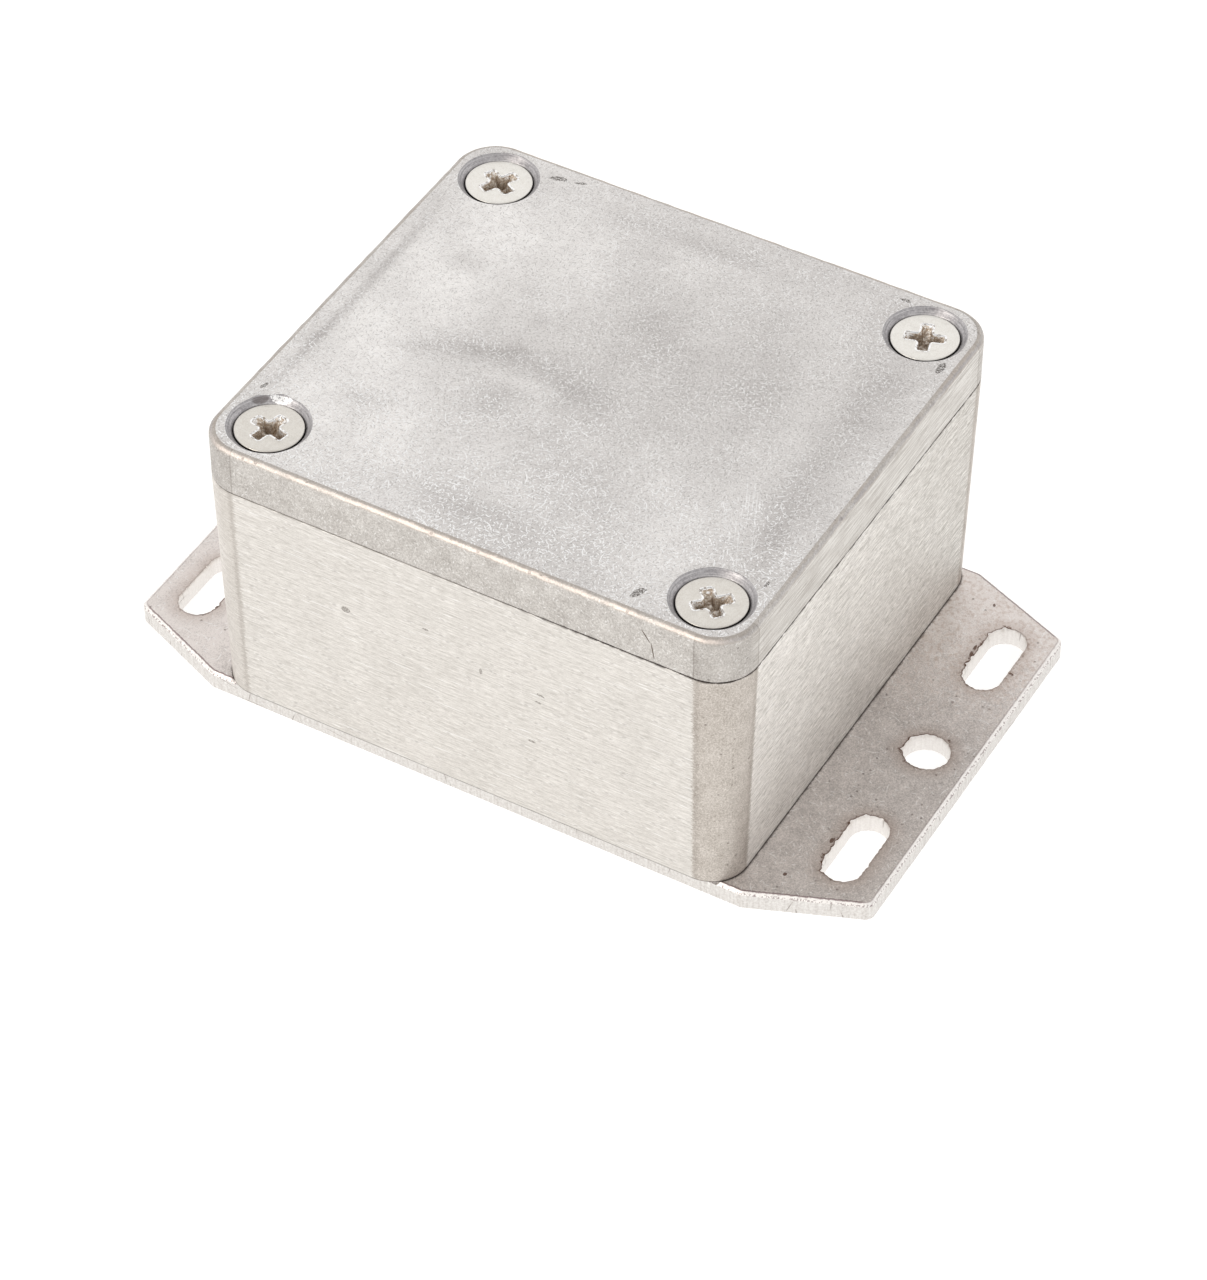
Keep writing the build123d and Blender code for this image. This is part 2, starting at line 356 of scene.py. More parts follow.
def make_piece(name, surfaces, materials, replaced, fields=None):
    """Weld surfaces into a closed mesh that rides on the part's only body and replaces a CAD node.

    A field is a value for each point, worked out from the point's place in millimetres.
    """
    mesh = bpy.data.meshes.new(name)
    starts = np.cumsum([0] + [len(s["points"]) for s in surfaces])
    points = np.vstack([s["points"] for s in surfaces]) * MM
    faces = []
    for s, start in zip(surfaces, starts):
        faces += (s["faces"] + start).tolist()
    mesh.from_pydata(points.tolist(), [], faces)
    mesh.polygons.foreach_set("material_index", np.concatenate(
        [np.full(len(s["faces"]), s["material"]) for s in surfaces]).astype(np.int32))
    layer = mesh.uv_layers.new(name="surface_mm")
    layer.data.foreach_set("uv", np.concatenate([s["uv"].ravel() for s in surfaces]).astype(np.float32))
    work = bmesh.new()
    work.from_mesh(mesh)
    bmesh.ops.remove_doubles(work, verts=work.verts, dist=WELD)
    bmesh.ops.dissolve_degenerate(work, dist=WELD / 4, edges=work.edges)
    bmesh.ops.recalc_face_normals(work, faces=work.faces)
    open_edges = sum(len(edge.link_faces) != 2 for edge in work.edges)
    volume = work.calc_volume(signed=True) / MM ** 3
    work.to_mesh(mesh)
    work.free()
    mesh.polygons.foreach_set("use_smooth", np.ones(len(mesh.polygons), bool))
    mesh.set_sharp_from_angle(angle=SHARP)
    for material in materials:
        mesh.materials.append(material)
    flat = np.empty(len(mesh.vertices) * 3)
    mesh.vertices.foreach_get("co", flat)
    for field, worked_out in (fields or {}).items():
        values = worked_out(*(flat.reshape(-1, 3).T / MM))
        mesh.attributes.new(field, "FLOAT", "POINT").data.foreach_set("value", values.astype(np.float32))
        print(f"{name}: {field} from {values.min():.2f} to {values.max():.2f}")
    mesh.update()
    piece = in_scene(name, mesh)
    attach(piece, "root")
    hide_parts(replaced)
    mesh.calc_loop_triangles()
    print(f"{name}: {len(mesh.loop_triangles)} triangles, {open_edges} open edges, {volume:.0f} mm3")


# %% [markdown]
# ## Nodes and colours
# Every material below is a small tree of nodes. One function adds a node with its settings and links
# and gives back a socket, so that a tree reads like a formula. Colours are picked in sRGB, as a screen
# shows them, and one function turns them into the linear values that light works with.

# %% Nodes and colours
def add(tree, kind, *inputs, out=0, **named):
    """Add a shader node and return one of its outputs.

    Inputs are values or sockets, in the node's own order or by a name with a capital. The other names
    are settings. A MapRange so reads: value, from low, from high, to low, to high.
    """
    made = tree.nodes.new("ShaderNode" + kind)
    values = dict(enumerate(inputs))
    for key, value in named.items():
        if key[0].isupper():
            values[key.replace("_", " ")] = value
        else:
            setattr(made, key, value)
    for key, value in values.items():
        if isinstance(value, bpy.types.NodeSocket):
            tree.links.new(value, made.inputs[key])
        else:
            made.inputs[key].default_value = value
    return made.outputs[out] if len(made.outputs) else made


def linear(hex_colour):
    """sRGB hex to the linear red, green, blue and alpha that shaders use."""
    channels = [int(hex_colour[k:k + 2], 16) / 255 for k in (0, 2, 4)]
    return [c / 12.92 if c <= 0.04045 else ((c + 0.055) / 1.055) ** 2.4 for c in channels] + [1.0]


def new_material(name):
    """Empty node material and its tree."""
    material = bpy.data.materials.new(name)
    material.use_nodes = True
    material.node_tree.nodes.clear()
    return material, material.node_tree


def in_mm(tree):
    """Object coordinates in millimetres."""
    return add(tree, "VectorMath", add(tree, "TexCoord", out="Object"), Scale=1 / MM, operation="SCALE")


print("mid grey 808080 is", round(linear("808080")[0], 3), "in linear light")

# %% [markdown]
# ## Steps that every finish shares
# A finish is built up as it came about: a base tone, marks laid over it, grime last. So a few steps
# come back in all of them: a tint over a colour, a weighted sum, a line where a value meets a level,
# noise drawn out into lines, and a mark that noise eats into.

# %% Shared steps
def combined(tree, operation, first, *others):
    """Several values brought together two at a time, such as their product or the highest."""
    for other in others:
        first = add(tree, "Math", first, other, operation=operation)
    return first


def weighted(tree, total, *terms, clamp=False):
    """A total plus each term's value times its weight, held between 0 and 1 at the end if clamped."""
    for number, (value, weight) in enumerate(terms, 1):
        last = number == len(terms)
        total = add(tree, "Math", value, weight, total, operation="MULTIPLY_ADD", use_clamp=clamp and last)
    return total


def tint(tree, colour, over, strength, share=1.0):
    """A colour with another laid over it, as strong as a share of the strength. Either may be sRGB hex."""
    if share != 1:
        strength = add(tree, "Math", strength, share, operation="MULTIPLY")
    under, over = [linear(each) if isinstance(each, str) else each for each in (colour, over)]
    return add(tree, "Mix", Factor=strength, A=under, B=over, out=2, data_type="RGBA")


def on_axis(tree, place, axis, *levels):
    """One coordinate of a place, mapped: from low, from high, to low, to high."""
    return add(tree, "MapRange", add(tree, "SeparateXYZ", place, out=axis), *levels)


def line_at(tree, value, level, inner, outer, strength):
    """Strength of a line where a value meets a level: full within the inner distance, gone at the outer."""
    off = combined(tree, "SUBTRACT", value, level)
    off = add(tree, "Math", off, operation="ABSOLUTE")
    return add(tree, "MapRange", off, inner, outer, strength, 0.0)


def drawn(tree, flat, along, across, detail, roughness=0.5):
    """Noise drawn out on the map: its features are so many millimetres along and across."""
    scaled = add(tree, "Mapping", Vector=flat, Scale=(1 / along, 1 / across, 1.0))
    return add(tree, "TexNoise", Vector=scaled, Scale=1.0, Detail=detail, Roughness=roughness,
               noise_dimensions="2D")


def eaten(tree, mark, noise, low, high, strength=1.0):
    """A mark with ragged edges, where its product with noise goes from low to high."""
    return add(tree, "MapRange", combined(tree, "MULTIPLY", mark, noise), low, high, 0.0, strength)


def finish_metal(tree, colour, roughness, height, relief_mm, painted_shade=None):
    """Metal from a colour, a roughness and a height whose full range is a relief in millimetres.

    The painted shade, 0 to 1, is a dark brown laid where shade falls: in a seam, a corner or a screw seat.
    """
    # painted shade: a dark brown laid over the colour
    if painted_shade is not None:
        colour = tint(tree, colour, "3A302B", painted_shade)
    bump = add(tree, "Bump", Height=height, Strength=1.0, Distance=relief_mm * MM)
    shader = add(tree, "BsdfPrincipled", Base_Color=colour, Metallic=1.0, Roughness=roughness, Normal=bump)
    add(tree, "OutputMaterial", Surface=shader)


# %% [markdown]
# ## Where a point is on the box
# Shade is painted into the seam and round each screw, and the belt missed the rounded corners.
# These three say how near a point is to such a place.

# %% Seam, screws and corners
def seam_shade(tree, place):
    """Painted shade in the seam between lid and base: up to a quarter of a millimetre, fainter to the left.
    """
    half = seam_gap / 2
    ragged = add(tree, "TexNoise", Vector=place, Scale=1 / 1.6, Detail=4.0, Roughness=0.65)
    reach = add(tree, "MapRange", ragged, 0.4, 0.68, half + 0.04, half + 0.28)
    painted_shade = line_at(tree, add(tree, "SeparateXYZ", place, out="Z"), seam_z - half, half, reach, 1.0)
    return combined(tree, "MULTIPLY", painted_shade, on_axis(tree, place, "Y", -16.0, 0.0, 1.0, 0.35))


def from_screw(tree, place):
    """Distance in millimetres to the nearest screw's axis."""
    apart = add(tree, "VectorMath", place, operation="ABSOLUTE")
    apart = add(tree, "VectorMath", apart, (screw_x, screw_y, 0.0), operation="SUBTRACT")
    apart = add(tree, "VectorMath", apart, (1.0, 1.0, 0.0), operation="MULTIPLY")
    return add(tree, "VectorMath", apart, operation="LENGTH", out="Value")


def into_corner(tree, place):
    """How far a point is into a rounded corner, past the ends of both flat walls, in millimetres."""
    size = add(tree, "VectorMath", place, operation="ABSOLUTE")
    ends = (body_width / 2 - corner_radius, body_length / 2 - corner_radius, 0.0)
    past = add(tree, "SeparateXYZ", add(tree, "VectorMath", size, ends, operation="SUBTRACT"))
    return combined(tree, "MINIMUM", past, past.node.outputs["Y"])


# %% [markdown]
# ## Strokes and spots
# Tumbled and sanded metal is covered with short strokes, each where one stone or grain of grit slid.
# A Voronoi pattern deals out one random point a cell. Seen from that point, and turned by the cell's
# own random number, a long thin oval is one stroke, so every cell holds a stroke of its own.

# %% A pattern of strokes, one a cell
def strokes(tree, where, cell, half_length, half_width, share, spread=2 * math.pi, heading=0.0, bend=0.0):
    """Strength, 0 to 1, of thin curved strokes in millimetres: 1 - (along/length)2 - (across/width)2.

    Along and across are the vector from the cell's point, turned by the heading and a random part of
    the spread. The bend takes the square of along from across, which curves the stroke. Only a share
    of the cells, told by another random number, has one.
    """
    cells = add(tree, "TexVoronoi", Vector=where, Scale=1 / cell, out="Position", voronoi_dimensions="2D")
    chance = add(tree, "SeparateColor", cells.node.outputs["Color"])
    apart = add(tree, "VectorMath", where, cells, operation="SUBTRACT")
    angle = weighted(tree, heading - spread / 2, (chance, spread))
    own = add(tree, "VectorRotate", Vector=apart, Angle=angle, rotation_type="Z_AXIS")
    along = add(tree, "SeparateXYZ", own)
    along2 = combined(tree, "MULTIPLY", along, along)
    across = weighted(tree, along.node.outputs["Y"], (along2, -bend))
    across2 = combined(tree, "MULTIPLY", across, across)
    oval = weighted(tree, 1.0, (across2, -1 / half_width ** 2), (along2, -1 / half_length ** 2), clamp=True)
    return combined(tree, "MULTIPLY", oval, combined(tree, "LESS_THAN", chance.node.outputs["Blue"], share))


def blot(tree, where, centre, half_length, half_width, degrees):
    """Strength of one oval mark: 1 - (along/length)2 - (across/width)2, doubled for a firm edge."""
    apart = add(tree, "VectorMath", where, (*centre, 0.0), operation="SUBTRACT")
    own = add(tree, "VectorRotate", Vector=apart, Angle=-math.radians(degrees), rotation_type="Z_AXIS")
    scaled = add(tree, "VectorMath", own, (1 / half_length, 1 / half_width, 0.0), operation="MULTIPLY")
    square = add(tree, "VectorMath", scaled, scaled, operation="DOT_PRODUCT", out="Value")
    return weighted(tree, 2.0, (square, -2.0), clamp=True)


def blots(tree, where, marks):
    """The strongest of some oval marks at each point."""
    return combined(tree, "MAXIMUM", *[blot(tree, where, *mark) for mark in marks])


def front_blots(tree, place, marks):
    """Oval marks on the front long side, at -X, each placed along Y and Z."""
    at = add(tree, "SeparateXYZ", place)
    seen = add(tree, "CombineXYZ", at.node.outputs["Y"], at.node.outputs["Z"])
    return combined(tree, "MULTIPLY", blots(tree, seen, marks), combined(tree, "LESS_THAN", at, 0.0))


# %% [markdown]
# ## Tumbled cast aluminium
# The lid went through a barrel of stones after casting. That gives the eye a light grey skin, neither
# matt nor glossy, clouded in patches, with thousands of hair-fine curved scratches that catch the
# light, and dark smudges where oxide stayed. Clouds and smudges are soft ovals worked out for each
# point of the mesh, because each has its own place; scratches and grain are patterns.

# %% The lid's clouds and smudges
# Centre, half sizes and turn in degrees of each oval, and how much paler (+) or darker (-) it is.
# The long dark ovals just inside each edge are painted shade of a shallow hollow inside the rim; the rest
# are the skin's own paler and darker clouds.
lid_clouds_and_shade = [
    ((-2, 24), (24, 7), 0, 0.9), ((16, 16), (10, 9), 0, 0.6), ((-20, 14), (9, 10), 0, 0.7),
    ((-18, -19), (9, 5), 12, 0.6), ((20.5, -2), (4, 7), 0, 0.3), ((-4.8, 7.5), (0.9, 5), 0, 0.5),
    ((9, 0), (8, 3.5), 0, -0.4), ((6, -9), (10, 8), 0, -0.4), ((6, -16), (6, 2.8), 0, -0.35),
    ((-12, -27), (5.5, 2.0), 10, -0.9), ((1, -26), (10, 2.4), 0, -0.5), ((13, -26), (6, 3), 0, -0.6),
    ((-24, 3), (1.7, 11), 0, -0.5), ((24.3, 1), (1.6, 11), 0, -0.55), ((-8, 7.5), (3.8, 1.9), 0, -0.5),
    ((-15, 20), (1.2, 2.2), 0, -0.8), ((9.3, 21.5), (2, 2.6), 0, -0.6), ((4.6, 10.3), (1.3, 1.1), 0, -0.5),
    ((-9, 29.1), (9, 0.6), -1, -1.3), ((6, 29.2), (8, 0.6), 1, -1.2)]
lid_smudge = [
    ((-4.9, 19.4), (2.8, 1.1), -66, -1.0), ((-2.9, 14.6), (3.4, 1.7), -68, -1.25),
    ((-1.1, 10.0), (2.6, 1.9), -82, -1.25), ((-2.1, 4.6), (3.4, 1.8), -112, -1.0),
    ((-4.0, -0.5), (4.0, 2.6), -112, -0.75)]


def ovals(x, y, spots):
    """Sum of soft ovals: each is its strength times e to the minus (along2 + across2), in half sizes."""
    total = np.zeros(np.shape(x))
    for (centre_x, centre_y), (half_along, half_across), degrees, strength in spots:
        c = math.cos(math.radians(degrees))
        s = math.sin(math.radians(degrees))
        along = ((x - centre_x) * c + (y - centre_y) * s) / half_along
        across = ((y - centre_y) * c - (x - centre_x) * s) / half_across
        total = total + strength * np.exp(-(along ** 2 + across ** 2))
    return total


def lid_tone(x, y, z):
    """Paler and darker clouds of the lid, with painted shade just inside its edges, about -1 to 1."""
    wide = 0.15 * waves(x, y, 9, 101) + 0.08 * waves(x, y, 3.2, 102)
    return 0.7 * ovals(x, y, lid_clouds_and_shade) + 0.5 * ovals(x, y, lid_smudge) + wide


print(len(lid_clouds_and_shade), "clouds and", len(lid_smudge), "smudges")

# %% [markdown]
# ## Scratches over the clouds
# A stone in the barrel leaves a short bent scratch and never a long straight one. One stretched noise
# would give streaks that all run one way. Here each cell of a grid holds at most one arc with a place
# and turn of its own, in three sizes, so single marks cross each other as the real ones do.

# %% Tumbled aluminium
# The real scratches are about 0.05 mm wide; here they are nearly three times that, so that they show.
# Cell, half length, half width, share of the cells, bend and strength of each size of scratch.
lid_scratches = [(0.45, 0.22, 0.07, 0.85, 0.5, 0.85), (0.95, 0.44, 0.07, 0.75, 0.45, 0.9),
                 (2.6, 1.2, 0.07, 0.4, 0.22, 0.9)]
# Centre, half length, half width and turn of each dark nick by the screws.
lid_nicks = [
    ((26.4, 20.4), 1.3, 0.42, -75), ((26.9, 17.9), 0.9, 0.25, -70), ((-26.1, -19.3), 1.2, 0.55, -25),
    ((19.1, -30.0), 1.2, 0.5, 0), ((27.0, -21.8), 0.8, 0.3, 90), ((-18.3, 29.8), 0.7, 0.3, -20),
    ((-18.7, -29.8), 0.6, 0.25, 0)]


def tumbled_aluminium_material():
    """Clouded grey skin, fine grain, curved scratches in three sizes, ragged dark nicks by the screws."""
    material, tree = new_material("tumbled_cast_aluminium")
    place = in_mm(tree)
    flat = add(tree, "UVMap", uv_map="surface_mm")
    # moved by up to an eighth of a millimetre, so that no stroke is a perfect oval
    drift = add(tree, "TexNoise", Vector=flat, Scale=1 / 0.8, Detail=3.0, out="Color", noise_dimensions="2D")
    drift = add(tree, "VectorMath", drift, (0.5, 0.5, 0.5), operation="SUBTRACT")
    bent = add(tree, "VectorMath", drift, (0.25, 0.25, 0.0), flat, operation="MULTIPLY_ADD")
    layers = []
    for cell, half_length, half_width, share, bend, strength in lid_scratches:
        layer = strokes(tree, bent, cell, half_length, half_width, share, bend=bend)
        layers.append(combined(tree, "MULTIPLY", layer, strength))
    # fewer show where the skin is pale, and more towards the front
    tone = add(tree, "Attribute", out="Fac", attribute_name="tone")
    amount = add(tree, "TexNoise", Vector=flat, Scale=1 / 6.0, Detail=2.0, noise_dimensions="2D")
    amount = add(tree, "MapRange", amount, 0.3, 0.7, 0.4, 1.15)
    by_tone = add(tree, "MapRange", tone, -0.3, 0.8, 0.95, 0.55)
    to_front = on_axis(tree, place, "X", -25.0, -5.0, 2.4, 0.95)
    hair = combined(tree, "MULTIPLY", combined(tree, "MAXIMUM", *layers), amount, by_tone, to_front)
    # a fan of long scratches beside the near screw
    lines = add(tree, "Mapping", Vector=flat, Rotation=(0, 0, math.radians(24)), Scale=(10.0, 0.2, 1.0),
                vector_type="TEXTURE")
    lines = add(tree, "TexNoise", Vector=lines, Scale=1.0, Detail=1.0, noise_dimensions="2D")
    lines = add(tree, "MapRange", lines, 0.6, 0.72)
    fan = combined(tree, "MULTIPLY", lines, blot(tree, flat, (-13.0, -23.4), 8.5, 2.4, 20))
    hair = weighted(tree, hair, (fan, 0.6), clamp=True)
    grain = add(tree, "TexNoise", Vector=flat, Scale=1 / 0.17, Detail=2.0, Roughness=0.7,
                noise_dimensions="2D")
    mottle = add(tree, "TexNoise", Vector=flat, Scale=1 / 1.3, Detail=4.0, Roughness=0.7,
                 noise_dimensions="2D")
    # the mottle breaks the tone's soft ovals up
    uneven = add(tree, "MapRange", mottle, 0.3, 0.7, 0.27, 0.39)
    pale = weighted(tree, 0.24, (tone, uneven), (mottle, 0.15), (grain, 0.65), clamp=True)
    colour = tint(tree, "8B8482", "FFFDFB", pale)
    colour = tint(tree, colour, "FFFFFF", hair)
    # noise eats into each nick, which leaves a ragged dark core in a fainter halo
    core = weighted(tree, blots(tree, bent, lid_nicks), (grain, 2.2))
    core = add(tree, "MapRange", core, 1.85, 2.3, 0.0, 0.95)
    specks = strokes(tree, bent, 0.55, 0.28, 0.065, 0.8, bend=0.6)
    dark = combined(tree, "MAXIMUM", core, combined(tree, "MULTIPLY", specks, 0.32))
    colour = tint(tree, colour, "4E463F", dark)
    roughness = add(tree, "MapRange", hair, 0.0, 1.0, 0.5, 0.3)
    height = weighted(tree, grain, (hair, -0.5), (dark, -0.8))
    finish_metal(tree, colour, roughness, height, 0.03, seam_shade(tree, place))
    return material


tumbled_aluminium = tumbled_aluminium_material()
print(tumbled_aluminium.name, "has", len(tumbled_aluminium.node_tree.nodes), "nodes")


# %% [markdown]
# ## As-cast aluminium
# Where nothing touched the casting, it has the skin of the die: warm grey, granular, a little cloudy,
# with small dark pits of trapped gas. Reading the same three outputs, the sanded walls use it for
# their rounded corners, which the belt didn't reach.

# %% The skin of a casting
def cast_skin(tree, place, dark, pale, lift=-0.73):
    """Colour, roughness and height of a cast skin: clouds of 2 mm, grains of 0.2 mm and dark pits."""
    cloud = add(tree, "TexNoise", Vector=place, Scale=1 / 2.2, Detail=4.0, Roughness=0.65)
    grain = add(tree, "TexNoise", Vector=place, Scale=1 / 0.17, Detail=2.0, Roughness=0.75)
    mixed = weighted(tree, lift, (cloud, 0.75), (grain, 1.7), clamp=True)
    pits = add(tree, "TexVoronoi", Vector=place, Scale=1 / 0.9, out="Distance")
    chance = add(tree, "SeparateColor", pits.node.outputs["Color"])
    pits = add(tree, "MapRange", pits, 0.08, 0.2, 1.0, 0.0)
    pits = combined(tree, "MULTIPLY", pits, combined(tree, "LESS_THAN", chance, 0.2))
    colour = tint(tree, tint(tree, dark, pale, mixed), "5F554D", pits, 0.5)
    roughness = add(tree, "MapRange", mixed, 0.0, 1.0, 0.6, 0.45)
    return colour, roughness, weighted(tree, grain, (pits, -1.5))


# %% [markdown]
# ## The lid's rim
# Tumbling reached the rim least, so it kept its cast skin. Its rounded edge shines in a broken cream
# line, a painted highlight with painted shade on each side, and the two ends were drawn along the belt
# with the walls.
# An edge mask could be baked from the mesh; here the line simply follows the height on the rounded
# edge, which gives it the same width all round and needs no image.

# %% Cast skin of the rim
# Two hair cracks in the lid's front side: centre along Y and Z, half length, half width and turn.
rim_cracks = [((-21.8, 35.2), 1.0, 0.09, 55), ((-22.6, 33.5), 1.2, 0.08, 80)]


def cast_aluminium_material():
    """Cast skin of the lid's rim: a painted highlight on the rounded edge, lines where the corners start."""
    material, tree = new_material("as_cast_aluminium_rim")
    place = in_mm(tree)
    flat = add(tree, "UVMap", uv_map="surface_mm")
    size = add(tree, "VectorMath", place, operation="ABSOLUTE")
    end_y = body_length / 2
    colour, roughness, height = cast_skin(tree, place, "A39E99", "E4E1DD")
    colour = tint(tree, colour, "FFFFFF", strokes(tree, flat, 0.75, 0.26, 0.075, 0.6, bend=0.5), 0.45)
    # the two ends were drawn along a belt as well
    lines = add(tree, "MapRange", drawn(tree, flat, 5.0, 0.2, 3.0, 0.6), 0.35, 0.65)
    end = on_axis(tree, size, "Y", end_y - 0.25, end_y - 0.05, 0.0, 0.7)
    colour = tint(tree, colour, tint(tree, "B9B4AE", "ECEAE6", lines), end)
    # a thin dark upright line at each end of each rounded corner
    corner = into_corner(tree, place)
    upright = line_at(tree, corner, 0.05, 0.02, 0.14, 0.45)
    shade = add(tree, "MapRange", corner, 0.0, 0.2, 0.0, 0.16)
    dark = combined(tree, "MAXIMUM", upright, shade, front_blots(tree, place, rim_cracks))
    colour = tint(tree, colour, "6F645B", dark)
    # the rounded edge has a painted highlight, a broken cream line, with a line of painted shade on each
    # side of it
    patchy = add(tree, "TexNoise", Vector=place, Scale=1 / 0.7, Detail=3.0, Roughness=0.7)
    rise = weighted(tree, on_axis(tree, size, "Z", lid_top - lid_edge_radius, lid_top), (patchy, 0.5))
    painted_highlight = line_at(tree, rise, 0.93, 0.1, 0.24, 1.0)
    # on the two ends the painted highlight gives way to painted shade, greyer than the top
    cream = tint(tree, "FFF0E6", "A9A4A6", on_axis(tree, size, "Y", end_y - 3.0, end_y - 0.8))
    fading = add(tree, "TexNoise", Vector=place, Scale=1 / 5.0, Detail=2.0)
    fading = add(tree, "MapRange", fading, 0.35, 0.6, 0.2, 0.55)
    above = combined(tree, "MULTIPLY", add(tree, "MapRange", rise, 0.5, 0.7), fading)
    colour = tint(tree, colour, tint(tree, "BDB2A9", cream, painted_highlight), above)
    finish_metal(tree, colour, roughness, height, 0.04, seam_shade(tree, place))
    return material


cast_aluminium = cast_aluminium_material()
print(cast_aluminium.name, "has", len(cast_aluminium.node_tree.nodes), "nodes")


# %% [markdown]
# ## The flanges
# The flanges kept their cast skin as well. The press left brown burrs and a halo of oil round each
# hole, and a bright bevel with torn dark edges where it sheared the outline. These follow distances
# that the mesh carries, because they go round holes and corners as no plain pattern does.

# %% Cast skin of the flanges
# Centre, half length, half width and turn of each dark spot on the right flange.
flange_spots = [
    ((-18.9, -37.5), 0.5, 0.3, 30), ((-16.4, -37.3), 0.6, 0.3, 0), ((2.6, -41.4), 0.4, 0.2, 60),
    ((-23.1, -35.3), 0.35, 0.25, 0), ((8.0, -39.0), 0.25, 0.2, 0), ((23.7, -36.2), 0.35, 0.2, 20),
    ((15.0, -42.6), 0.35, 0.2, 80), ((21.2, -40.3), 0.4, 0.15, 60), ((16.0, -37.4), 1.6, 0.25, 5)]


def flange_aluminium_material():
    """Cast skin, brown round the punched holes, with a torn bright bevel and painted shade at the walls'
    foot.
    """
    material, tree = new_material("as_cast_aluminium_flange")
    place = in_mm(tree)
    size = add(tree, "VectorMath", place, operation="ABSOLUTE")
    # the far end and the left flange are paler
    paler = combined(tree, "MAXIMUM", on_axis(tree, place, "X", 4.0, 24.0, 0.0, 0.64),
                     on_axis(tree, place, "Y", 30.0, 34.0, 0.0, 0.45))
    lift = combined(tree, "SUBTRACT", paler, 0.72)
    colour, roughness, height = cast_skin(tree, place, "A9A3A0", "EDE6E2", lift)
    hair = combined(tree, "MAXIMUM", strokes(tree, place, 0.9, 0.34, 0.075, 0.6, bend=0.5),
                    strokes(tree, place, 2.2, 1.0, 0.07, 0.3, bend=0.2))
    colour = tint(tree, colour, "FFFFFF", hair, 0.5)
    # the far end is blotched with brown
    patches = add(tree, "TexNoise", Vector=place, Scale=1 / 0.55, Detail=3.0, Roughness=0.7)
    stain = add(tree, "MapRange", patches, 0.46, 0.7, 0.0, 0.5)
    stain = combined(tree, "MULTIPLY", stain, on_axis(tree, place, "X", 2.0, 14.0))
    colour = tint(tree, colour, "B79F8F", stain)
    # a brown halo round each hole, and dark burrs where the patches beat the distance
    from_hole = add(tree, "Attribute", out="Fac", attribute_name="from_hole")
    colour = tint(tree, colour, "8E6A50", add(tree, "MapRange", from_hole, 0.0, 1.8, 0.3, 0.0))
    box_side = on_axis(tree, size, "Y", hole_y - 1.5, hole_y + 1.5, 1.0, 0.35)
    burr = add(tree, "MapRange", weighted(tree, patches, (from_hole, -0.33)), 0.44, 0.56)
    burr = combined(tree, "MULTIPLY", burr, box_side)
    burr = add(tree, "MapRange", from_hole, 0.1, 0.6, burr, 0.0)
    spots = eaten(tree, blots(tree, place, flange_spots), patches, 0.3, 0.5, 0.85)
    rim = add(tree, "MapRange", from_hole, 0.05, 0.2, box_side, 0.0)
    brown = combined(tree, "MAXIMUM", burr, spots, combined(tree, "MULTIPLY", rim, 0.7))
    colour = tint(tree, colour, "5A3D2E", brown)
    # a bright bevel, torn dark on its inner and its outer side, and cleaner on the long edges
    from_edge = add(tree, "Attribute", out="Fac", attribute_name="from_edge")
    bevel = add(tree, "MapRange", from_edge, plate_bevel * 0.95, plate_bevel * 1.15, 1.0, 0.0)
    colour = tint(tree, colour, "F4F1EE", bevel)
    inner = line_at(tree, weighted(tree, from_edge, (patches, 0.3)), plate_bevel + 0.2, 0.04, 0.14, 0.8)
    clean = on_axis(tree, size, "Y", flange_span / 2 - 1.2, flange_span / 2 - 0.8, 1.0, 0.35)
    outer = add(tree, "MapRange", from_edge, 0.24, 0.1, 0.0, 0.7)
    speckle = add(tree, "TexNoise", Vector=place, Scale=1 / 0.22, Detail=2.0)
    speckle = add(tree, "MapRange", speckle, 0.5, 0.58)
    torn = combined(tree, "MAXIMUM", combined(tree, "MULTIPLY", inner, clean),
                    combined(tree, "MULTIPLY", outer, speckle))
    colour = tint(tree, colour, "7E686A", torn)
    # painted shade along the walls' foot, with a ragged edge
    from_foot = add(tree, "Attribute", out="Fac", attribute_name="from_foot")
    reach = add(tree, "MapRange", patches, 0.35, 0.7, 0.12, 0.4)
    painted_shade = add(tree, "MapRange", from_foot, 0.02, reach, 0.95, 0.0)
    finish_metal(tree, colour, roughness, height, 0.035, painted_shade)
    return material


flange_aluminium = flange_aluminium_material()
print(flange_aluminium.name, "has", len(flange_aluminium.node_tree.nodes), "nodes")


# %% [markdown]
# ## Sanded aluminium
# The four walls were run along a belt, so they carry fine level lines: paler and smoother than the
# cast skin, with short bright and dark dashes. The map in millimetres turns the lines round the box.
# The belt missed the rounded corners, and where it stopped the edge is sharp and ragged.

# %% Sanded walls
# Centre along Y and Z, half length, half width and turn of each dark spot on the front wall.
wall_spots = [
    ((-2.3, 20.5), 0.25, 0.5, 0), ((-9.4, 20.5), 0.6, 0.2, 10), ((-9.1, 19.3), 0.5, 0.2, 0),
    ((4.2, 23.4), 0.5, 0.2, 0), ((-8.2, 13.1), 0.6, 0.2, 0), ((14.0, 21.5), 0.7, 0.5, 0)]


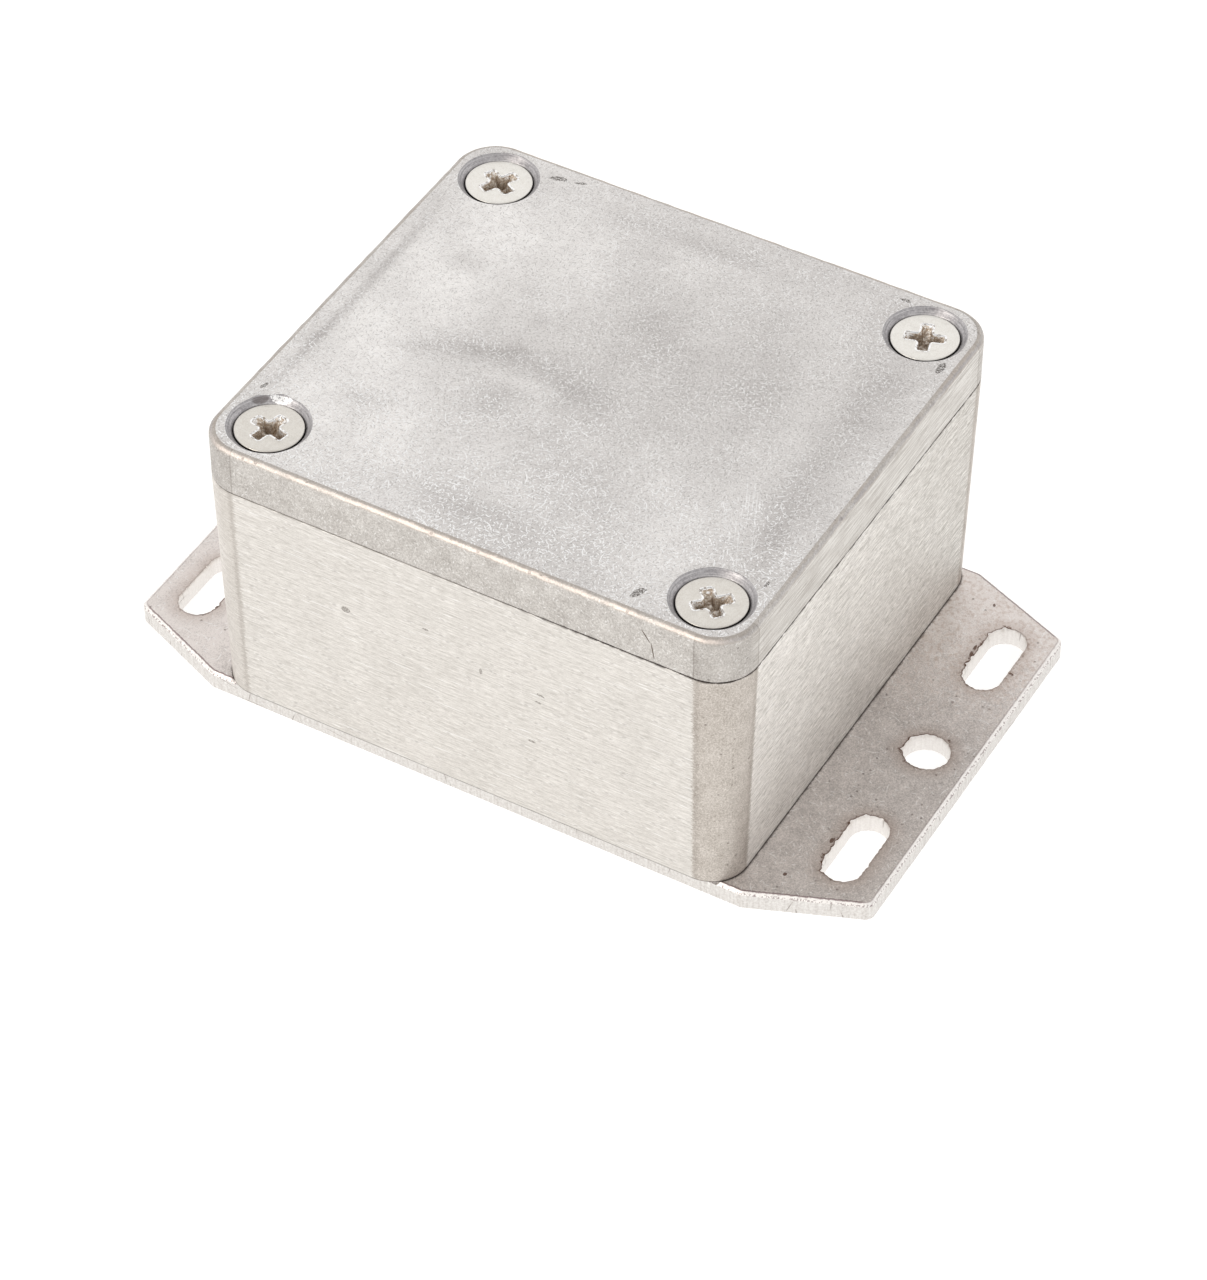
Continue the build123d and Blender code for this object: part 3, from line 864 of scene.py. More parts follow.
def sanded_aluminium_material():
    """Level sanding lines, stretched along the map, and cast skin in the corners."""
    material, tree = new_material("sanded_cast_aluminium")
    place = in_mm(tree)
    flat = add(tree, "UVMap", uv_map="surface_mm")
    # lines about 4 mm and 1 mm long and 0.2 mm apart, drawn three times as coarse as the belt's grit
    long_lines = drawn(tree, flat, 4.0, 0.2, 2.0, 0.6)
    short_lines = drawn(tree, flat, 1.0, 0.18, 2.0, 0.7)
    grain = add(tree, "TexNoise", Vector=place, Scale=1 / 0.16, Detail=2.0, Roughness=0.7)
    cloud = add(tree, "TexNoise", Vector=place, Scale=1 / 6.0, Detail=3.0, Roughness=0.6)
    # each pattern's distance from its mean; the ends are rougher, and darker towards +X
    streaks = weighted(tree, -0.735, (long_lines, 0.55), (short_lines, 0.6), (grain, 0.32))
    size = add(tree, "VectorMath", place, operation="ABSOLUTE")
    ends = on_axis(tree, size, "Y", body_length / 2 - 3.0, body_length / 2 - 1.6)
    gain = add(tree, "MapRange", ends, 0.0, 1.0, 1.3, 2.5)
    across = combined(tree, "MULTIPLY", add(tree, "SeparateXYZ", place, out="X"), ends)
    pale = weighted(tree, 0.43, (across, -0.007), (streaks, gain), (cloud, 0.18), clamp=True)
    colour = tint(tree, "B8B4AE", "F4F1ED", pale)
    bright = combined(tree, "MAXIMUM", strokes(tree, flat, 1.5, 0.9, 0.06, 0.5, spread=0.12),
                      strokes(tree, flat, 4.0, 2.2, 0.06, 0.4, spread=0.06))
    colour = tint(tree, colour, "FFFFFF", bright, 0.6)
    colour = tint(tree, colour, "857C72", strokes(tree, flat, 1.5, 0.35, 0.12, 0.35, spread=0.5), 0.4)
    roughness = add(tree, "MapRange", short_lines, 0.0, 1.0, 0.62, 0.5)
    height = weighted(tree, bright, (short_lines, 0.6))
    # the belt missed the corners, but brushed those at the left end, so they are paler
    corner = weighted(tree, into_corner(tree, place), (drawn(tree, flat, 0.9, 0.16, 2.0), 1.2))
    missed = add(tree, "MapRange", corner, 0.5, 0.72)
    missed = combined(tree, "MULTIPLY", missed, on_axis(tree, place, "Y", 0.0, 24.0, 1.0, 0.4))
    cast_colour, cast_roughness, cast_height = cast_skin(tree, place, "A0988F", "E2DCD6")
    colour = tint(tree, colour, cast_colour, missed)
    roughness = add(tree, "Mix", Factor=missed, A=roughness, B=cast_roughness)
    height = add(tree, "Mix", Factor=missed, A=height, B=cast_height)
    # a soft dark line just inside the missed strip
    colour = tint(tree, colour, "7D736A", line_at(tree, corner, 0.95, 0.0, 0.4, 0.28))
    spots = eaten(tree, front_blots(tree, place, wall_spots), grain, 0.3, 0.6, 0.7)
    colour = tint(tree, colour, "5F554C", spots)
    # painted shade at the walls' foot, and in the seam
    foot = on_axis(tree, place, "Z", plate_top, plate_top + 0.15, 0.8, 0.0)
    painted_shade = combined(tree, "MAXIMUM", foot, seam_shade(tree, place))
    finish_metal(tree, colour, roughness, height, 0.02, painted_shade)
    return material


sanded_aluminium = sanded_aluminium_material()
print(sanded_aluminium.name, "has", len(sanded_aluminium.node_tree.nodes), "nodes")


# %% [markdown]
# ## Sheared aluminium
# The plate's outline and its holes were cut in a press. A sheared face is bright bare metal, drawn
# into upright stripes by the tool, with nicks that run down it and a torn band at the far side.

# %% Sheared edges
def sheared_aluminium_material():
    """Bright metal with upright stripes and a few dark nicks."""
    material, tree = new_material("sheared_aluminium")
    flat = add(tree, "UVMap", uv_map="surface_mm")
    stripes = drawn(tree, flat, 0.3, 3.0, 3.0, 0.6)
    torn = add(tree, "TexNoise", Vector=flat, Scale=1 / 0.3, Detail=3.0, Roughness=0.7,
               noise_dimensions="2D")
    pale = weighted(tree, -0.35, (stripes, 0.6), (torn, 1.1), clamp=True)
    # the punch left the holes' walls brighter than the shear left the outline
    from_hole = add(tree, "Attribute", out="Fac", attribute_name="from_hole")
    punched = add(tree, "MapRange", from_hole, 0.7, 1.2, 0.5, 0.0)
    colour = tint(tree, tint(tree, "BDB7B2", "F6F5F3", pale), "FFFBF8", punched)
    nicks = combined(tree, "MAXIMUM", strokes(tree, flat, 5.0, 2.2, 0.06, 0.35, spread=0.6),
                     strokes(tree, flat, 2.6, 1.0, 0.07, 0.4, spread=0.9, heading=math.pi / 2))
    colour = tint(tree, colour, "82766F", nicks, 0.6)
    roughness = add(tree, "MapRange", torn, 0.0, 1.0, 0.35, 0.55)
    finish_metal(tree, colour, roughness, weighted(tree, stripes, (nicks, -1.0)), 0.04)
    return material


sheared_aluminium = sheared_aluminium_material()
print(sheared_aluminium.name, "has", len(sheared_aluminium.node_tree.nodes), "nodes")


# %% [markdown]
# ## Screw seats
# The seats were cut with a countersink and tumbled with the lid: smooth mid grey with faint rings,
# black with painted shade round the head, and one of them chipped bright on its far side.

# %% Turned screw seats
def turned_aluminium_material():
    """Rings round the hole: noise that hardly changes along the map and quickly across it."""
    material, tree = new_material("turned_aluminium")
    place = in_mm(tree)
    rings = drawn(tree, add(tree, "UVMap", uv_map="surface_mm"), 3.0, 0.15, 2.0)
    grain = add(tree, "TexNoise", Vector=place, Scale=1 / 0.25, Detail=2.0, Roughness=0.7)
    shade = add(tree, "MapRange", combined(tree, "ADD", rings, grain), 0.6, 1.4)
    colour = tint(tree, "858285", "D2D0D1", shade)
    scuff = eaten(tree, blot(tree, place, (-20.2, 29.1), 1.1, 0.4, 135), grain, 0.2, 0.5, 0.6)
    colour = tint(tree, colour, "5A4F4C", scuff)
    chip = eaten(tree, blot(tree, place, (-19.1, 27.2), 1.5, 0.5, 105), grain, 0.35, 0.5)
    colour = tint(tree, colour, "FFFFFF", chip)
    # painted shade in the narrow gap round the head
    painted_shade = add(tree, "MapRange", from_screw(tree, place), seat_radius - 0.06, seat_radius, 0.95, 0.0)
    roughness = add(tree, "MapRange", rings, 0.0, 1.0, 0.55, 0.42)
    finish_metal(tree, colour, roughness, rings, 0.02, painted_shade)
    return material


turned_aluminium = turned_aluminium_material()
print(turned_aluminium.name, "has", len(turned_aluminium.node_tree.nodes), "nodes")


# %% [markdown]
# ## Nickel plated steel
# The screws were barrel plated with nickel: warm off-white, satin, with faint marks of handling. In
# the recess the plating is thin and holds dirt, so it looks brown, with painted shade deeper down, between
# glints on its rubbed rim and painted glints just under it.

# %% Nickel on the heads and in the recesses
def nickel_material():
    """Satin plating with faint clouds and fine scratches, dark under the head's rim."""
    material, tree = new_material("nickel_plated_steel")
    place = in_mm(tree)
    cloud = add(tree, "TexNoise", Vector=place, Scale=1 / 0.8, Detail=4.0, Roughness=0.7)
    grain = add(tree, "TexNoise", Vector=place, Scale=1 / 0.15, Detail=2.0, Roughness=0.7)
    # the far pair is paler
    towards_far = on_axis(tree, place, "X", -20.0, 20.0, -0.4, -0.05)
    shade = weighted(tree, towards_far, (cloud, 0.7), (grain, 1.0), clamp=True)
    colour = tint(tree, "D3CDC4", "F8F6F1", shade)
    scratch = strokes(tree, place, 0.9, 0.4, 0.05, 0.5, bend=0.3)
    roughness = add(tree, "MapRange", cloud, 0.0, 1.0, 0.25, 0.5)
    # painted shade on the cone just under the head's rim
    under = on_axis(tree, place, "Z", screw_top - 0.12, screw_top - 0.04, 0.95, 0.0)
    finish_metal(tree, colour, roughness, weighted(tree, cloud, (scratch, -1.0)), 0.01, under)
    return material


nickel = nickel_material()
print(nickel.name, "has", len(nickel.node_tree.nodes), "nodes")


def rubbed_nickel_material():
    """The rim of the recess, bright where the driver rubbed it."""
    material, tree = new_material("nickel_rubbed_bright")
    patches = add(tree, "TexNoise", Vector=in_mm(tree), Scale=1 / 0.4, Detail=3.0, Roughness=0.7)
    patches = add(tree, "MapRange", patches, 0.36, 0.5)
    roughness = add(tree, "MapRange", patches, 0.0, 1.0, 0.4, 0.12)
    finish_metal(tree, tint(tree, "9A8D80", "FFFFFF", patches), roughness, patches, 0.02)
    return material


rubbed_nickel = rubbed_nickel_material()
print(rubbed_nickel.name, "has", len(rubbed_nickel.node_tree.nodes), "nodes")


def dirty_nickel_material():
    """Thin plating in the recess: brown patches over the same metal, painted shade with depth, painted
    glints near the top.
    """
    material, tree = new_material("nickel_plated_recess")
    place = in_mm(tree)
    patches = add(tree, "TexNoise", Vector=place, Scale=1 / 0.35, Detail=3.0, Roughness=0.7)
    patches = add(tree, "MapRange", patches, 0.42, 0.6)
    colour = tint(tree, "BFAE9C", "FBF6EE", patches)
    # painted shade, darker towards the recess's floor
    painted_depth_shade = on_axis(tree, place, "Z", screw_top - 1.5, screw_top - 0.2, 0.35, 0.0)
    colour = tint(tree, colour, "6A574A", painted_depth_shade)
    # painted highlights: broken white glints just under the rim
    painted_glint = add(tree, "TexNoise", Vector=place, Scale=1 / 0.7, Detail=2.0)
    painted_glint = add(tree, "MapRange", painted_glint, 0.5, 0.56)
    shallow = on_axis(tree, place, "Z", screw_top - 0.75, screw_top - 0.45)
    colour = tint(tree, colour, "FFFFFF", combined(tree, "MULTIPLY", painted_glint, shallow))
    roughness = add(tree, "MapRange", patches, 0.0, 1.0, 0.6, 0.35)
    finish_metal(tree, colour, roughness, patches, 0.02)
    return material


dirty_nickel = dirty_nickel_material()
print(dirty_nickel.name, "has", len(dirty_nickel.node_tree.nodes), "nodes")


# %% [markdown]
# ## Moulded rubber
# The gasket is a moulded black strip. It shows only as a dark line where the lid lifts off its seat.
# One flat black would look like a hole there, so a faint grain varies its colour, its gloss and its
# relief.

# %% Rubber
def rubber_material():
    """Matt black rubber with the faint grain of its mould."""
    material, tree = new_material("moulded_rubber")
    grain = add(tree, "TexNoise", Vector=in_mm(tree), Scale=1 / 0.3, Detail=3.0)
    bump = add(tree, "Bump", Height=grain, Strength=1.0, Distance=0.02 * MM)
    roughness = add(tree, "MapRange", grain, 0.0, 1.0, 0.55, 0.8)
    shader = add(tree, "BsdfPrincipled", Base_Color=tint(tree, "161616", "2C2C2C", grain),
                 Roughness=roughness, Normal=bump)
    add(tree, "OutputMaterial", Surface=shader)
    return material


rubber = rubber_material()
print(rubber.name, "has", len(rubber.node_tree.nodes), "nodes")


# %% [markdown]
# ## The cavity's outline
# Inside, the box is a rectangle that steps in round the four corner posts. Lid and base share this
# path: the rib, the groove and the cavity itself are profiles carried along it.

# %% The cavity path
def cone_z(radius):
    """Height at which the head's 90 degree cone has a radius."""
    return screw_top - head_rim - (head_radius - radius)


def cavity_path():
    """Outline of the cavity at the seam: twelve corners, four of which go round the posts."""
    x = body_width / 2 - wall
    y = body_length / 2 - wall
    post_x = screw_x - post_radius
    post_y = screw_y - post_radius
    corners = [(x, -post_y), (x, post_y), (post_x, post_y), (post_x, y), (-post_x, y), (-post_x, post_y)]
    corners += [(-a, -b) for a, b in corners]
    radii = [cavity_corner_radius, cavity_corner_radius, post_radius] * 4
    return rounded_path(corners, [radii[k] for k in range(12)], step=3.0, arc_count=8)


inner_path = cavity_path()
print("cavity outline:", len(inner_path), "points")


# %% [markdown]
# ## The lid
# The real lid is one die casting: a flat plate whose top edge is rounded by tumbling, with a rim,
# a rib that drops into the base and a groove for the gasket. One band goes from the seam up the side
# and over the rounded edge, a finely divided cap makes the top, and each screw hole is a band that
# goes down through the soft mouth and the seat cone.

# %% The lid's surfaces
lid_hole_radius = 2.3
lip_reach = 0.1              # soft lip round the mouth
mouth_bend = [(0.05, 0.015), (0.01, 0.05), (-0.04, 0.1), (-0.12, 0.18), (-0.2, 0.26), (-0.3, 0.36),
              (-0.42, 0.49), (-0.54, 0.62)]   # outwards from the mouth, and down from the top
plate_under = 34.8           # underside of the lid's plate
rib_gap = 0.2
rib_thickness = 1.2
rib_foot = 30.35
groove_inner = 0.3
groove_outer = 1.6
groove_roof = 33.05
chipped_mouth = 2            # the third screw's seat is chipped on its far side
chips = [(14, 11, 0.3), (47, 9, 0.16)]   # degrees round the seat, half width in degrees, depth
lid_grid = 0.6               # between the points of the lid's uneven top
TOP, SIDE, MOUTH = 0, 1, 2


def arc_profile(offset, height, radius, first, last, count):
    """Profile points on an arc about a centre, from one angle to another in degrees."""
    angles = np.radians(np.linspace(first, last, count + 1))
    return list(zip(offset + radius * np.cos(angles), height + radius * np.sin(angles)))


def lid_relief(x, y):
    """Hollows of the lid's top, a few hundredths of a millimetre deep, as castings have."""
    return np.minimum(0.03 * waves(x, y, 24, 11) + 0.01 * waves(x, y, 7, 12) - 0.02, 0)


def lid_surfaces():
    """All surfaces of the lid, from its rounded top to the groove under its rim."""
    profile = arc_profile(-seam_edge * 0.6, seam_z + seam_edge * 0.6, seam_edge * 0.6, -90, 0, 3)
    profile += [(0, z) for z in np.linspace(seam_z + seam_edge, lid_top - lid_edge_radius, 6)[1:-1]]
    profile += arc_profile(-lid_edge_radius, lid_top - lid_edge_radius, lid_edge_radius, 0, 90, 9)
    along = arc_length(body_path[:, :2])[:-1]
    heights = np.array(profile)[:, 1]
    swell = 0.015 * waves(*np.meshgrid(along, heights * 2), 9, 21) - 0.01
    on_edge = smooth_step(heights, lid_top - lid_edge_radius, lid_top - lid_edge_radius * 0.3)[:, None]
    swell += on_edge * 0.045 * (waves(*np.meshgrid(along, heights * 3), 2.6, 22) - 0.5)
    swell = np.minimum(swell, 0)
    swell[0] = 0
    swell[-1] = 0
    side = band_rows(body_path, profile, swell)
    surfaces = [skin(side, SIDE)]
    holes = []
    bores = []
    seat = seat_radius - lid_mouth_radius
    hole = lid_hole_radius - lid_mouth_radius
    mouth_profile = [(lip_reach, lid_top)] + [(offset, lid_top - depth) for offset, depth in mouth_bend]
    mouth_profile += [(seat, cone_z(seat_radius) - 0.05), (hole, cone_z(lid_hole_radius) - 0.1)]
    mouth_profile += [(hole, seam_z)]
    uneven = np.array([1, 1, 1, 0.9, 0.7, 0.5, 0.2, 0, 0, 0, 0, 0])[:, None]
    for number, centre in enumerate(screw_centres):
        circle = circle_path(centre, lid_mouth_radius, 96)
        edge = 0.04 * ripple(circle, 4, 25 + number)
        if number == chipped_mouth:
            bearing = np.degrees(np.arctan2(circle[:, 3], circle[:, 2]))
            for middle, half_width, depth in chips:
                edge = edge + depth * np.exp(-((bearing - middle) / half_width) ** 2)
        rows = band_rows(circle, mouth_profile, uneven * edge)
        surfaces.append(skin(rows, MOUTH))
        holes.append(rows[0])
        bores.append(rows[-1])
    surfaces.append(cap([side[-1], *holes], lid_top, 1, TOP, lid_grid, lid_relief))
    rib = -rib_gap - rib_thickness
    under = [(rib, plate_under), (rib, rib_foot), (-rib_gap, rib_foot), (-rib_gap, seam_z)]
    under += [(groove_inner, seam_z), (groove_inner, groove_roof)]
    under += [(groove_outer, groove_roof), (groove_outer, seam_z)]
    rows = band_rows(inner_path, under)
    surfaces.append(skin(rows, SIDE))
    surfaces.append(cap([rows[0]], plate_under, -1, SIDE))
    surfaces.append(cap([side[0], rows[-1], *bores], seam_z, -1, SIDE))
    return surfaces


make_piece("lid_casting", lid_surfaces(), [tumbled_aluminium, cast_aluminium, turned_aluminium],
           "lid", {"tone": lid_tone})


# %% [markdown]
# ## The base
# Body, floor plate and flanges are one casting. The walls lean in towards the floor, and the plate
# below them was trimmed in a shear, so it stands a little inside the long walls' feet and its edges
# are rough. The slots were punched: their walls are striped and their upper edges torn.

# %% The base's surfaces
slot_x = 16.2
slot_width = 4.3
slot_length = 10.1
round_hole_radius = 2.5
boss_x, boss_y = 13.5, 19.0
boss_radius = 3.0
boss_top = 6.6
boss_hole_radius = 1.25
boss_hole_floor = 1.6
tapped_radius = 2.05
tapped_floor = 21.4
flange_grid = 0.45           # between the points of the flange's uneven top
WALL, PLATE, EDGE = 0, 1, 2
quarters = [(-1, -1), (1, -1), (-1, 1), (1, 1)]
slant = math.tan(math.radians(body_draft))
foot_inset = -(seam_z - plate_top) * slant


def plate_path():
    """Outline of the floor plate with its two slanting ends."""
    x = plate_width / 2
    tip = plate_tip_width / 2
    end = flange_span / 2
    corners = [(x, -shoulder_y), (x, shoulder_y), (tip, end), (-tip, end)]
    corners += [(-a, -b) for a, b in corners]
    radii = [shoulder_radius, shoulder_radius, tip_radius, tip_radius] * 2
    return rounded_path(corners, radii, step=0.35, arc_count=8)


def slot_paths():
    """Four slots and two round holes, each closed path about its own centre."""
    slot = rounded_path(rectangle_corners(slot_length, slot_width), slot_width / 2, step=0.25, arc_count=24)
    paths = [slot + [sx * slot_x, sy * hole_y, 0, 0] for sx, sy in quarters]
    return paths + [circle_path((0, sy * hole_y), round_hole_radius, 72) for sy in (-1, 1)]


def plate_relief(x, y):
    """Rise and fall of the flange's top."""
    return 0.03 * waves(x, y, 16, 31) + 0.012 * waves(x, y, 4, 32)


def on_flange(flags):
    """In the plate, clear of the body's foot and of the holes."""
    return flags[0] & ~flags[1] & ~flags[2:].any(0)


def overhang(flags):
    """Under the body's foot, outside the plate."""
    return flags[1] & ~flags[0]


def hole_rows():
    """Rows of the punched holes' walls: clean at the foot, torn at the top, most on the box's side."""
    levels = [(0.05, plate_top), (0, plate_top - 0.08), (0, 1.7), (0, 1.1), (0, 0.5), (0, 0.06), (0.06, 0)]
    depth = np.array([1, 0.85, 0.35, 0.1, 0.0, 0.0, 0.0])[:, None]
    holes = []
    for number, path in enumerate(slot_paths()):
        towards_box = smooth_step(-path[:, 3] * np.sign(path[:, 1]), -0.2, 0.8)
        bites = np.maximum(ripple(path, 1.3, 50 + number) - 0.05, 0) ** 1.3
        torn = 0.05 * ripple(path, 0.6, 60 + number) + 0.45 * bites * (0.45 + 0.55 * towards_box)
        grain = 0.035 * ripple(path, 0.45, 70 + number)
        holes.append(band_rows(path, levels, depth * torn + (1 - depth) * grain))
    return holes


def base_surfaces():
    """All surfaces of the base casting."""
    plate, body = with_crossings(plate_path(), -plate_bevel, body_path, foot_inset)
    rim_z = seam_z - seam_gap
    foot_row = plate_top + 0.12
    wall_profile = [(foot_inset, plate_top), (-(seam_z - foot_row) * slant, foot_row)]
    wall_profile += [(-(seam_z - z) * slant, z) for z in np.linspace(foot_row, rim_z - seam_edge, 9)[1:]]
    wall_profile += arc_profile(-seam_edge, rim_z - seam_edge, seam_edge, 30, 90, 2)
    wall_profile += [(-seam_gap_depth, rim_z), (-seam_gap_depth, seam_z)]
    walls = band_rows(body, wall_profile)
    surfaces = [skin(walls, WALL)]

    free = smooth_step(np.abs(plate[:, 1]), shoulder_y - 1, shoulder_y + 0.5)
    tear = 0.05 * ripple(plate, 0.9, 41) + 0.05 * ripple(plate, 3.5, 42)
    bevel_z = plate_top - plate_bevel
    levels = [(-plate_foot_bevel, 0)] + [(0, z) for z in (plate_foot_bevel, 0.55, 1.05, 1.5, bevel_z)]
    levels += [(-plate_bevel * 0.55, plate_top - plate_bevel * 0.4), (-plate_bevel, plate_top)]
    share = np.array([0.3, 0.5, 1, 1, 1, 0.8, 1, 0.9])[:, None]
    extra = share * np.minimum(tear, 0)[None] * (0.35 + 0.65 * free)
    extra[-1] *= free
    edge = band_rows(plate, levels, extra)
    surfaces.append(skin(edge[:6], EDGE))
    surfaces.append(skin(edge[5:], PLATE))

    tops = []
    feet = []
    for rows in hole_rows():
        surfaces.append(skin(rows, EDGE))
        tops.append(rows[0])
        feet.append(rows[-1])
    rings = [edge[-1], walls[0], *tops]
    surfaces.append(cap(rings, plate_top, 1, PLATE, flange_grid, plate_relief, fade=1.5, keep=on_flange))
    surfaces.append(cap([edge[-1], walls[0]], plate_top, -1, PLATE, keep=overhang))
    surfaces.append(cap([edge[0], *feet], 0.0, -1, PLATE))

    cavity_foot = floor_z + cavity_floor_bevel
    shrink = -(seam_z - cavity_foot) * math.tan(math.radians(cavity_draft))
    inner = [(0, seam_z), (shrink, cavity_foot), (shrink - cavity_floor_bevel, floor_z)]
    inside_rows = band_rows(inner_path, inner)
    surfaces.append(skin(inside_rows, PLATE))
    tapped = []
    for centre in screw_centres:
        rows = band_rows(circle_path(centre, tapped_radius, 40), [(0, seam_z), (0, tapped_floor)])
        surfaces += [skin(rows, PLATE), cap([rows[-1]], tapped_floor, 1, PLATE)]
        tapped.append(rows[0])
    surfaces.append(cap([walls[-1], inside_rows[0], *tapped], seam_z, 1, PLATE))
    bosses = []
    inset = boss_hole_radius - boss_radius
    boss_profile = [(0, floor_z), (0, boss_top), (inset, boss_top), (inset, boss_hole_floor)]
    for sx, sy in quarters:
        rows = band_rows(circle_path((sx * boss_x, sy * boss_y), boss_radius, 40), boss_profile)
        surfaces += [skin(rows, PLATE), cap([rows[-1]], boss_hole_floor, 1, PLATE)]
        bosses.append(rows[0])
    surfaces.append(cap([inside_rows[-1], *bosses], floor_z, 1, PLATE))
    return surfaces


def nearest(x, y, rings):
    """Distance in millimetres, 4 at most, from each point to the nearest of some closed rings.

    On each segment the nearest place is a share of it, the point's own projection held between 0 and 1.
    """
    start = np.vstack([ring[:, :2] for ring in rings])
    along = np.vstack([np.roll(ring[:, :2], -1, axis=0) for ring in rings]) - start
    squared = np.maximum((along ** 2).sum(1), 1e-12)
    distance = np.full(len(x), 4.0)
    for first in range(0, len(x), 2000):
        part = slice(first, first + 2000)
        apart = np.stack([x[part], y[part]], 1)[:, None] - start[None]
        share = np.clip((apart * along).sum(2) / squared, 0, 1)
        gap = np.linalg.norm(apart - share[..., None] * along, axis=2).min(1)
        distance[part] = np.minimum(gap, 4.0)
    return distance


# the torn rims of the holes, the plate's outline and the foot of the walls
rings_of = {"from_hole": [rows[0] for rows in hole_rows()], "from_edge": [plate_path()],
            "from_foot": [at_offset(body_path, foot_inset)]}
distances = {field: lambda x, y, z, rings=rings: nearest(x, y, rings) for field, rings in rings_of.items()}
make_piece("box_casting", base_surfaces(), [sanded_aluminium, flange_aluminium, sheared_aluminium],
           "base_casting", distances)


# %% [markdown]
# ## The lid screws
# Four countersunk M4 screws with a cross recess. The thread is a band whose radius follows the height
# less the angle, which winds it into a helix. The recess is a skin between a wide cross at the head's
# top and a narrow one at its floor.

# %% The screws
screw_turns = [45.5, 18.0, 76.6, 61.3]   # degrees, as each was left
shank_radius = 2.0
thread_pitch = 0.7
thread_depth = 0.43
recess_depth = 1.7
recess_top = (4.1, 1.05, 0.5, 0.15)      # span, wing width, inner corners' and wing tips' radius
recess_floor = (2.2, 0.75, 0.3, 0.1)
rim_radius = 0.12
HEAD, RECESS, RUBBED = 0, 1, 2


def cross_path(span, wing, flare, tip):
    """Outline of a cross with rounded wing tips and flared inner corners."""
    a = span / 2
    b = wing / 2
    corners = [(a, -b), (a, b), (b, b), (b, a), (-b, a), (-b, b)]
    corners += [(-x, -y) for x, y in corners]
    return rounded_path(corners, [tip, tip, flare] * 4, step=None, arc_count=5)


def turned(path, degrees, centre):
    """A path turned about the origin and moved to a centre."""
    c = math.cos(math.radians(degrees))
    s = math.sin(math.radians(degrees))
    turn = np.array([[c, s], [-s, c]])
    return np.hstack([path[:, :2] @ turn + centre, path[:, 2:] @ turn])


def screw_surfaces(centre, degrees, seed):
    """Tip, helical thread, cone, rounded rim, flat head and cross recess."""
    axis = circle_path(centre, 0.0, 60)
    thread_top = cone_z(shank_radius) - 0.4
    tip = [(shank_radius - 0.5, screw_tip), (shank_radius, screw_tip + 0.5)]
    thread = [(shank_radius, z) for z in np.arange(screw_tip + 0.5, thread_top, thread_pitch / 8)[1:]]
    head = [(shank_radius, cone_z(shank_radius)), (head_radius, screw_top - head_rim)]
    head += arc_profile(head_radius - rim_radius, screw_top - rim_radius, rim_radius, 0, 90, 5)
    profile = tip + thread + head
    heights = np.array(profile)[:, 1]
    angles = np.linspace(0, 1, 60, endpoint=False)
    wind = (heights[:, None] / thread_pitch - angles[None]) % 1
    threaded = smooth_step(heights, screw_tip, screw_tip + 1)
    threaded *= smooth_step(-heights, -thread_top, -thread_top + 1)
    extra = -thread_depth * np.abs(2 * wind - 1) * threaded[:, None]
    rows = band_rows(axis, profile, extra)
    wide = turned(cross_path(*recess_top), degrees, centre)
    narrow = turned(cross_path(*recess_floor), degrees, centre)
    worn = 0.035 * ripple(wide, 0.6, seed)
    lip = band_rows(wide, [(0.26, screw_top), (0.2, screw_top + 0.015), (0.12, screw_top + 0.01),
                           (0.04, screw_top - 0.04), (0, screw_top - 0.13)], worn)
    floor = band_rows(narrow, [(0, screw_top - recess_depth)])
    shares = np.array([0.25, 0.5, 0.75, 1.0])[:, None, None]
    recess = np.concatenate([lip, lip[-1:] + (floor - lip[-1:]) * shares])
    surfaces = [skin(rows, HEAD), skin(lip, RUBBED), skin(recess[4:], RECESS)]
    surfaces.append(cap([rows[0]], screw_tip, -1, HEAD))
    surfaces.append(cap([rows[-1], lip[0]], screw_top, 1, HEAD, spacing=0.7))
    surfaces.append(cap([recess[-1]], screw_top - recess_depth, 1, RECESS, spacing=0.3,
                        relief=lambda x, y: -0.25 + 0 * x, fade=0.35))
    return surfaces


for number, (centre, degrees) in enumerate(zip(screw_centres, screw_turns), 1):
    make_piece(f"countersunk_screw_{number}", screw_surfaces(centre, degrees, 80 + number),
               [nickel, dirty_nickel, rubbed_nickel], f"lid_screw_{number}")

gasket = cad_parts["lid_gasket"]
gasket.data.materials.clear()
gasket.data.materials.append(rubber)


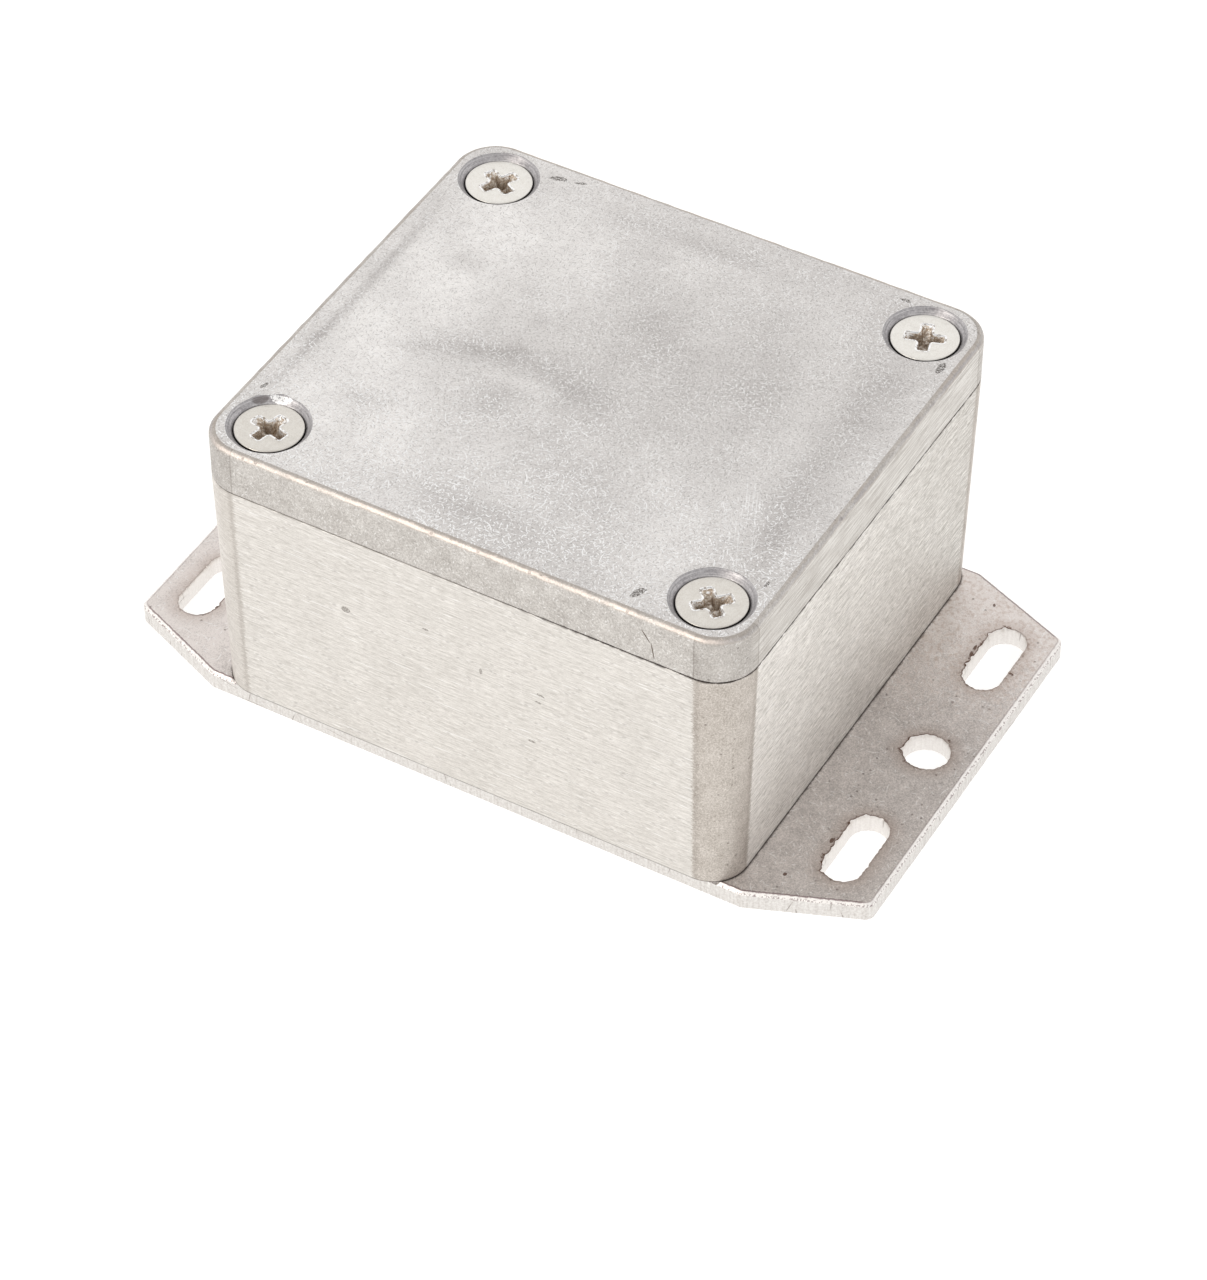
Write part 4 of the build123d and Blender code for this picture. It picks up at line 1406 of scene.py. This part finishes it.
# %% [markdown]
# ## Stage, light and camera
# The box is seen on near-white ground, in light that comes from all sides and a little more from the
# left. A pale floor that gives off some light of its own makes such ground without a hard shadow,
# white cloth stands all round, and one warm soft box is at the left. The camera's place and lens come
# from a pinhole camera that was fitted to the edges of the box.

# %% Floor, light and camera
white_cloth = (1.0, 0.99, 0.98, 1)


def aimed(made, place, aim):
    """Put a lamp or a camera at a place and turn it to a point."""
    made.location = place
    made.rotation_euler = (Vector(aim) - Vector(place)).to_track_quat("-Z", "Y").to_euler()


floor_material, tree = new_material("pale_floor")
shader = add(tree, "BsdfPrincipled", Base_Color=linear("A0A0A0"), Roughness=0.9,
             Emission_Color=(1.0, 0.99, 0.975, 1), Emission_Strength=0.82)
add(tree, "OutputMaterial", Surface=shader)
floor_mesh = bpy.data.meshes.new("floor")
half_floor = 3.0
floor_level = -0.00002
corners = [(x, y, floor_level) for x, y in rectangle_corners(2 * half_floor, 2 * half_floor)]
floor_mesh.from_pydata(corners, [], [(0, 1, 2, 3)])
floor_mesh.materials.append(floor_material)
in_scene("floor", floor_mesh)

world = bpy.data.worlds.new("white_studio")
world.use_nodes = True
sky = world.node_tree
sky.nodes.clear()
# white walls of cloth all round, and a darker ceiling straight above
level = on_axis(sky, add(sky, "TexCoord", out="Generated"), "Z", 0.75, 0.95, 1.0, 0.55)
add(sky, "OutputWorld", Surface=add(sky, "Background", Color=white_cloth, Strength=level))
bpy.context.scene.world = world

key = bpy.data.lights.new("key_soft_box", "AREA")
key.shape = "SQUARE"
key.size = 0.4
key.energy = 2.4
key.color = (1.0, 0.93, 0.85)
aimed(in_scene("key_soft_box", key), (-0.7, 0.36, 0.62), (0, 0, 0.02))

camera_data = bpy.data.cameras.new("camera")
camera = in_scene("camera", camera_data)
aimed(camera, (-0.322602, -0.185296, 0.363024), (-0.000285, -0.00052, 0.0))
camera_data.lens = 133.24
camera_data.sensor_width = 36.0
camera_data.clip_start = 0.01
bpy.context.scene.camera = camera
bpy.context.scene.view_settings.view_transform = "Standard"
print("camera", round(camera.location.length / MM), "mm from the origin, lens", camera_data.lens, "mm")
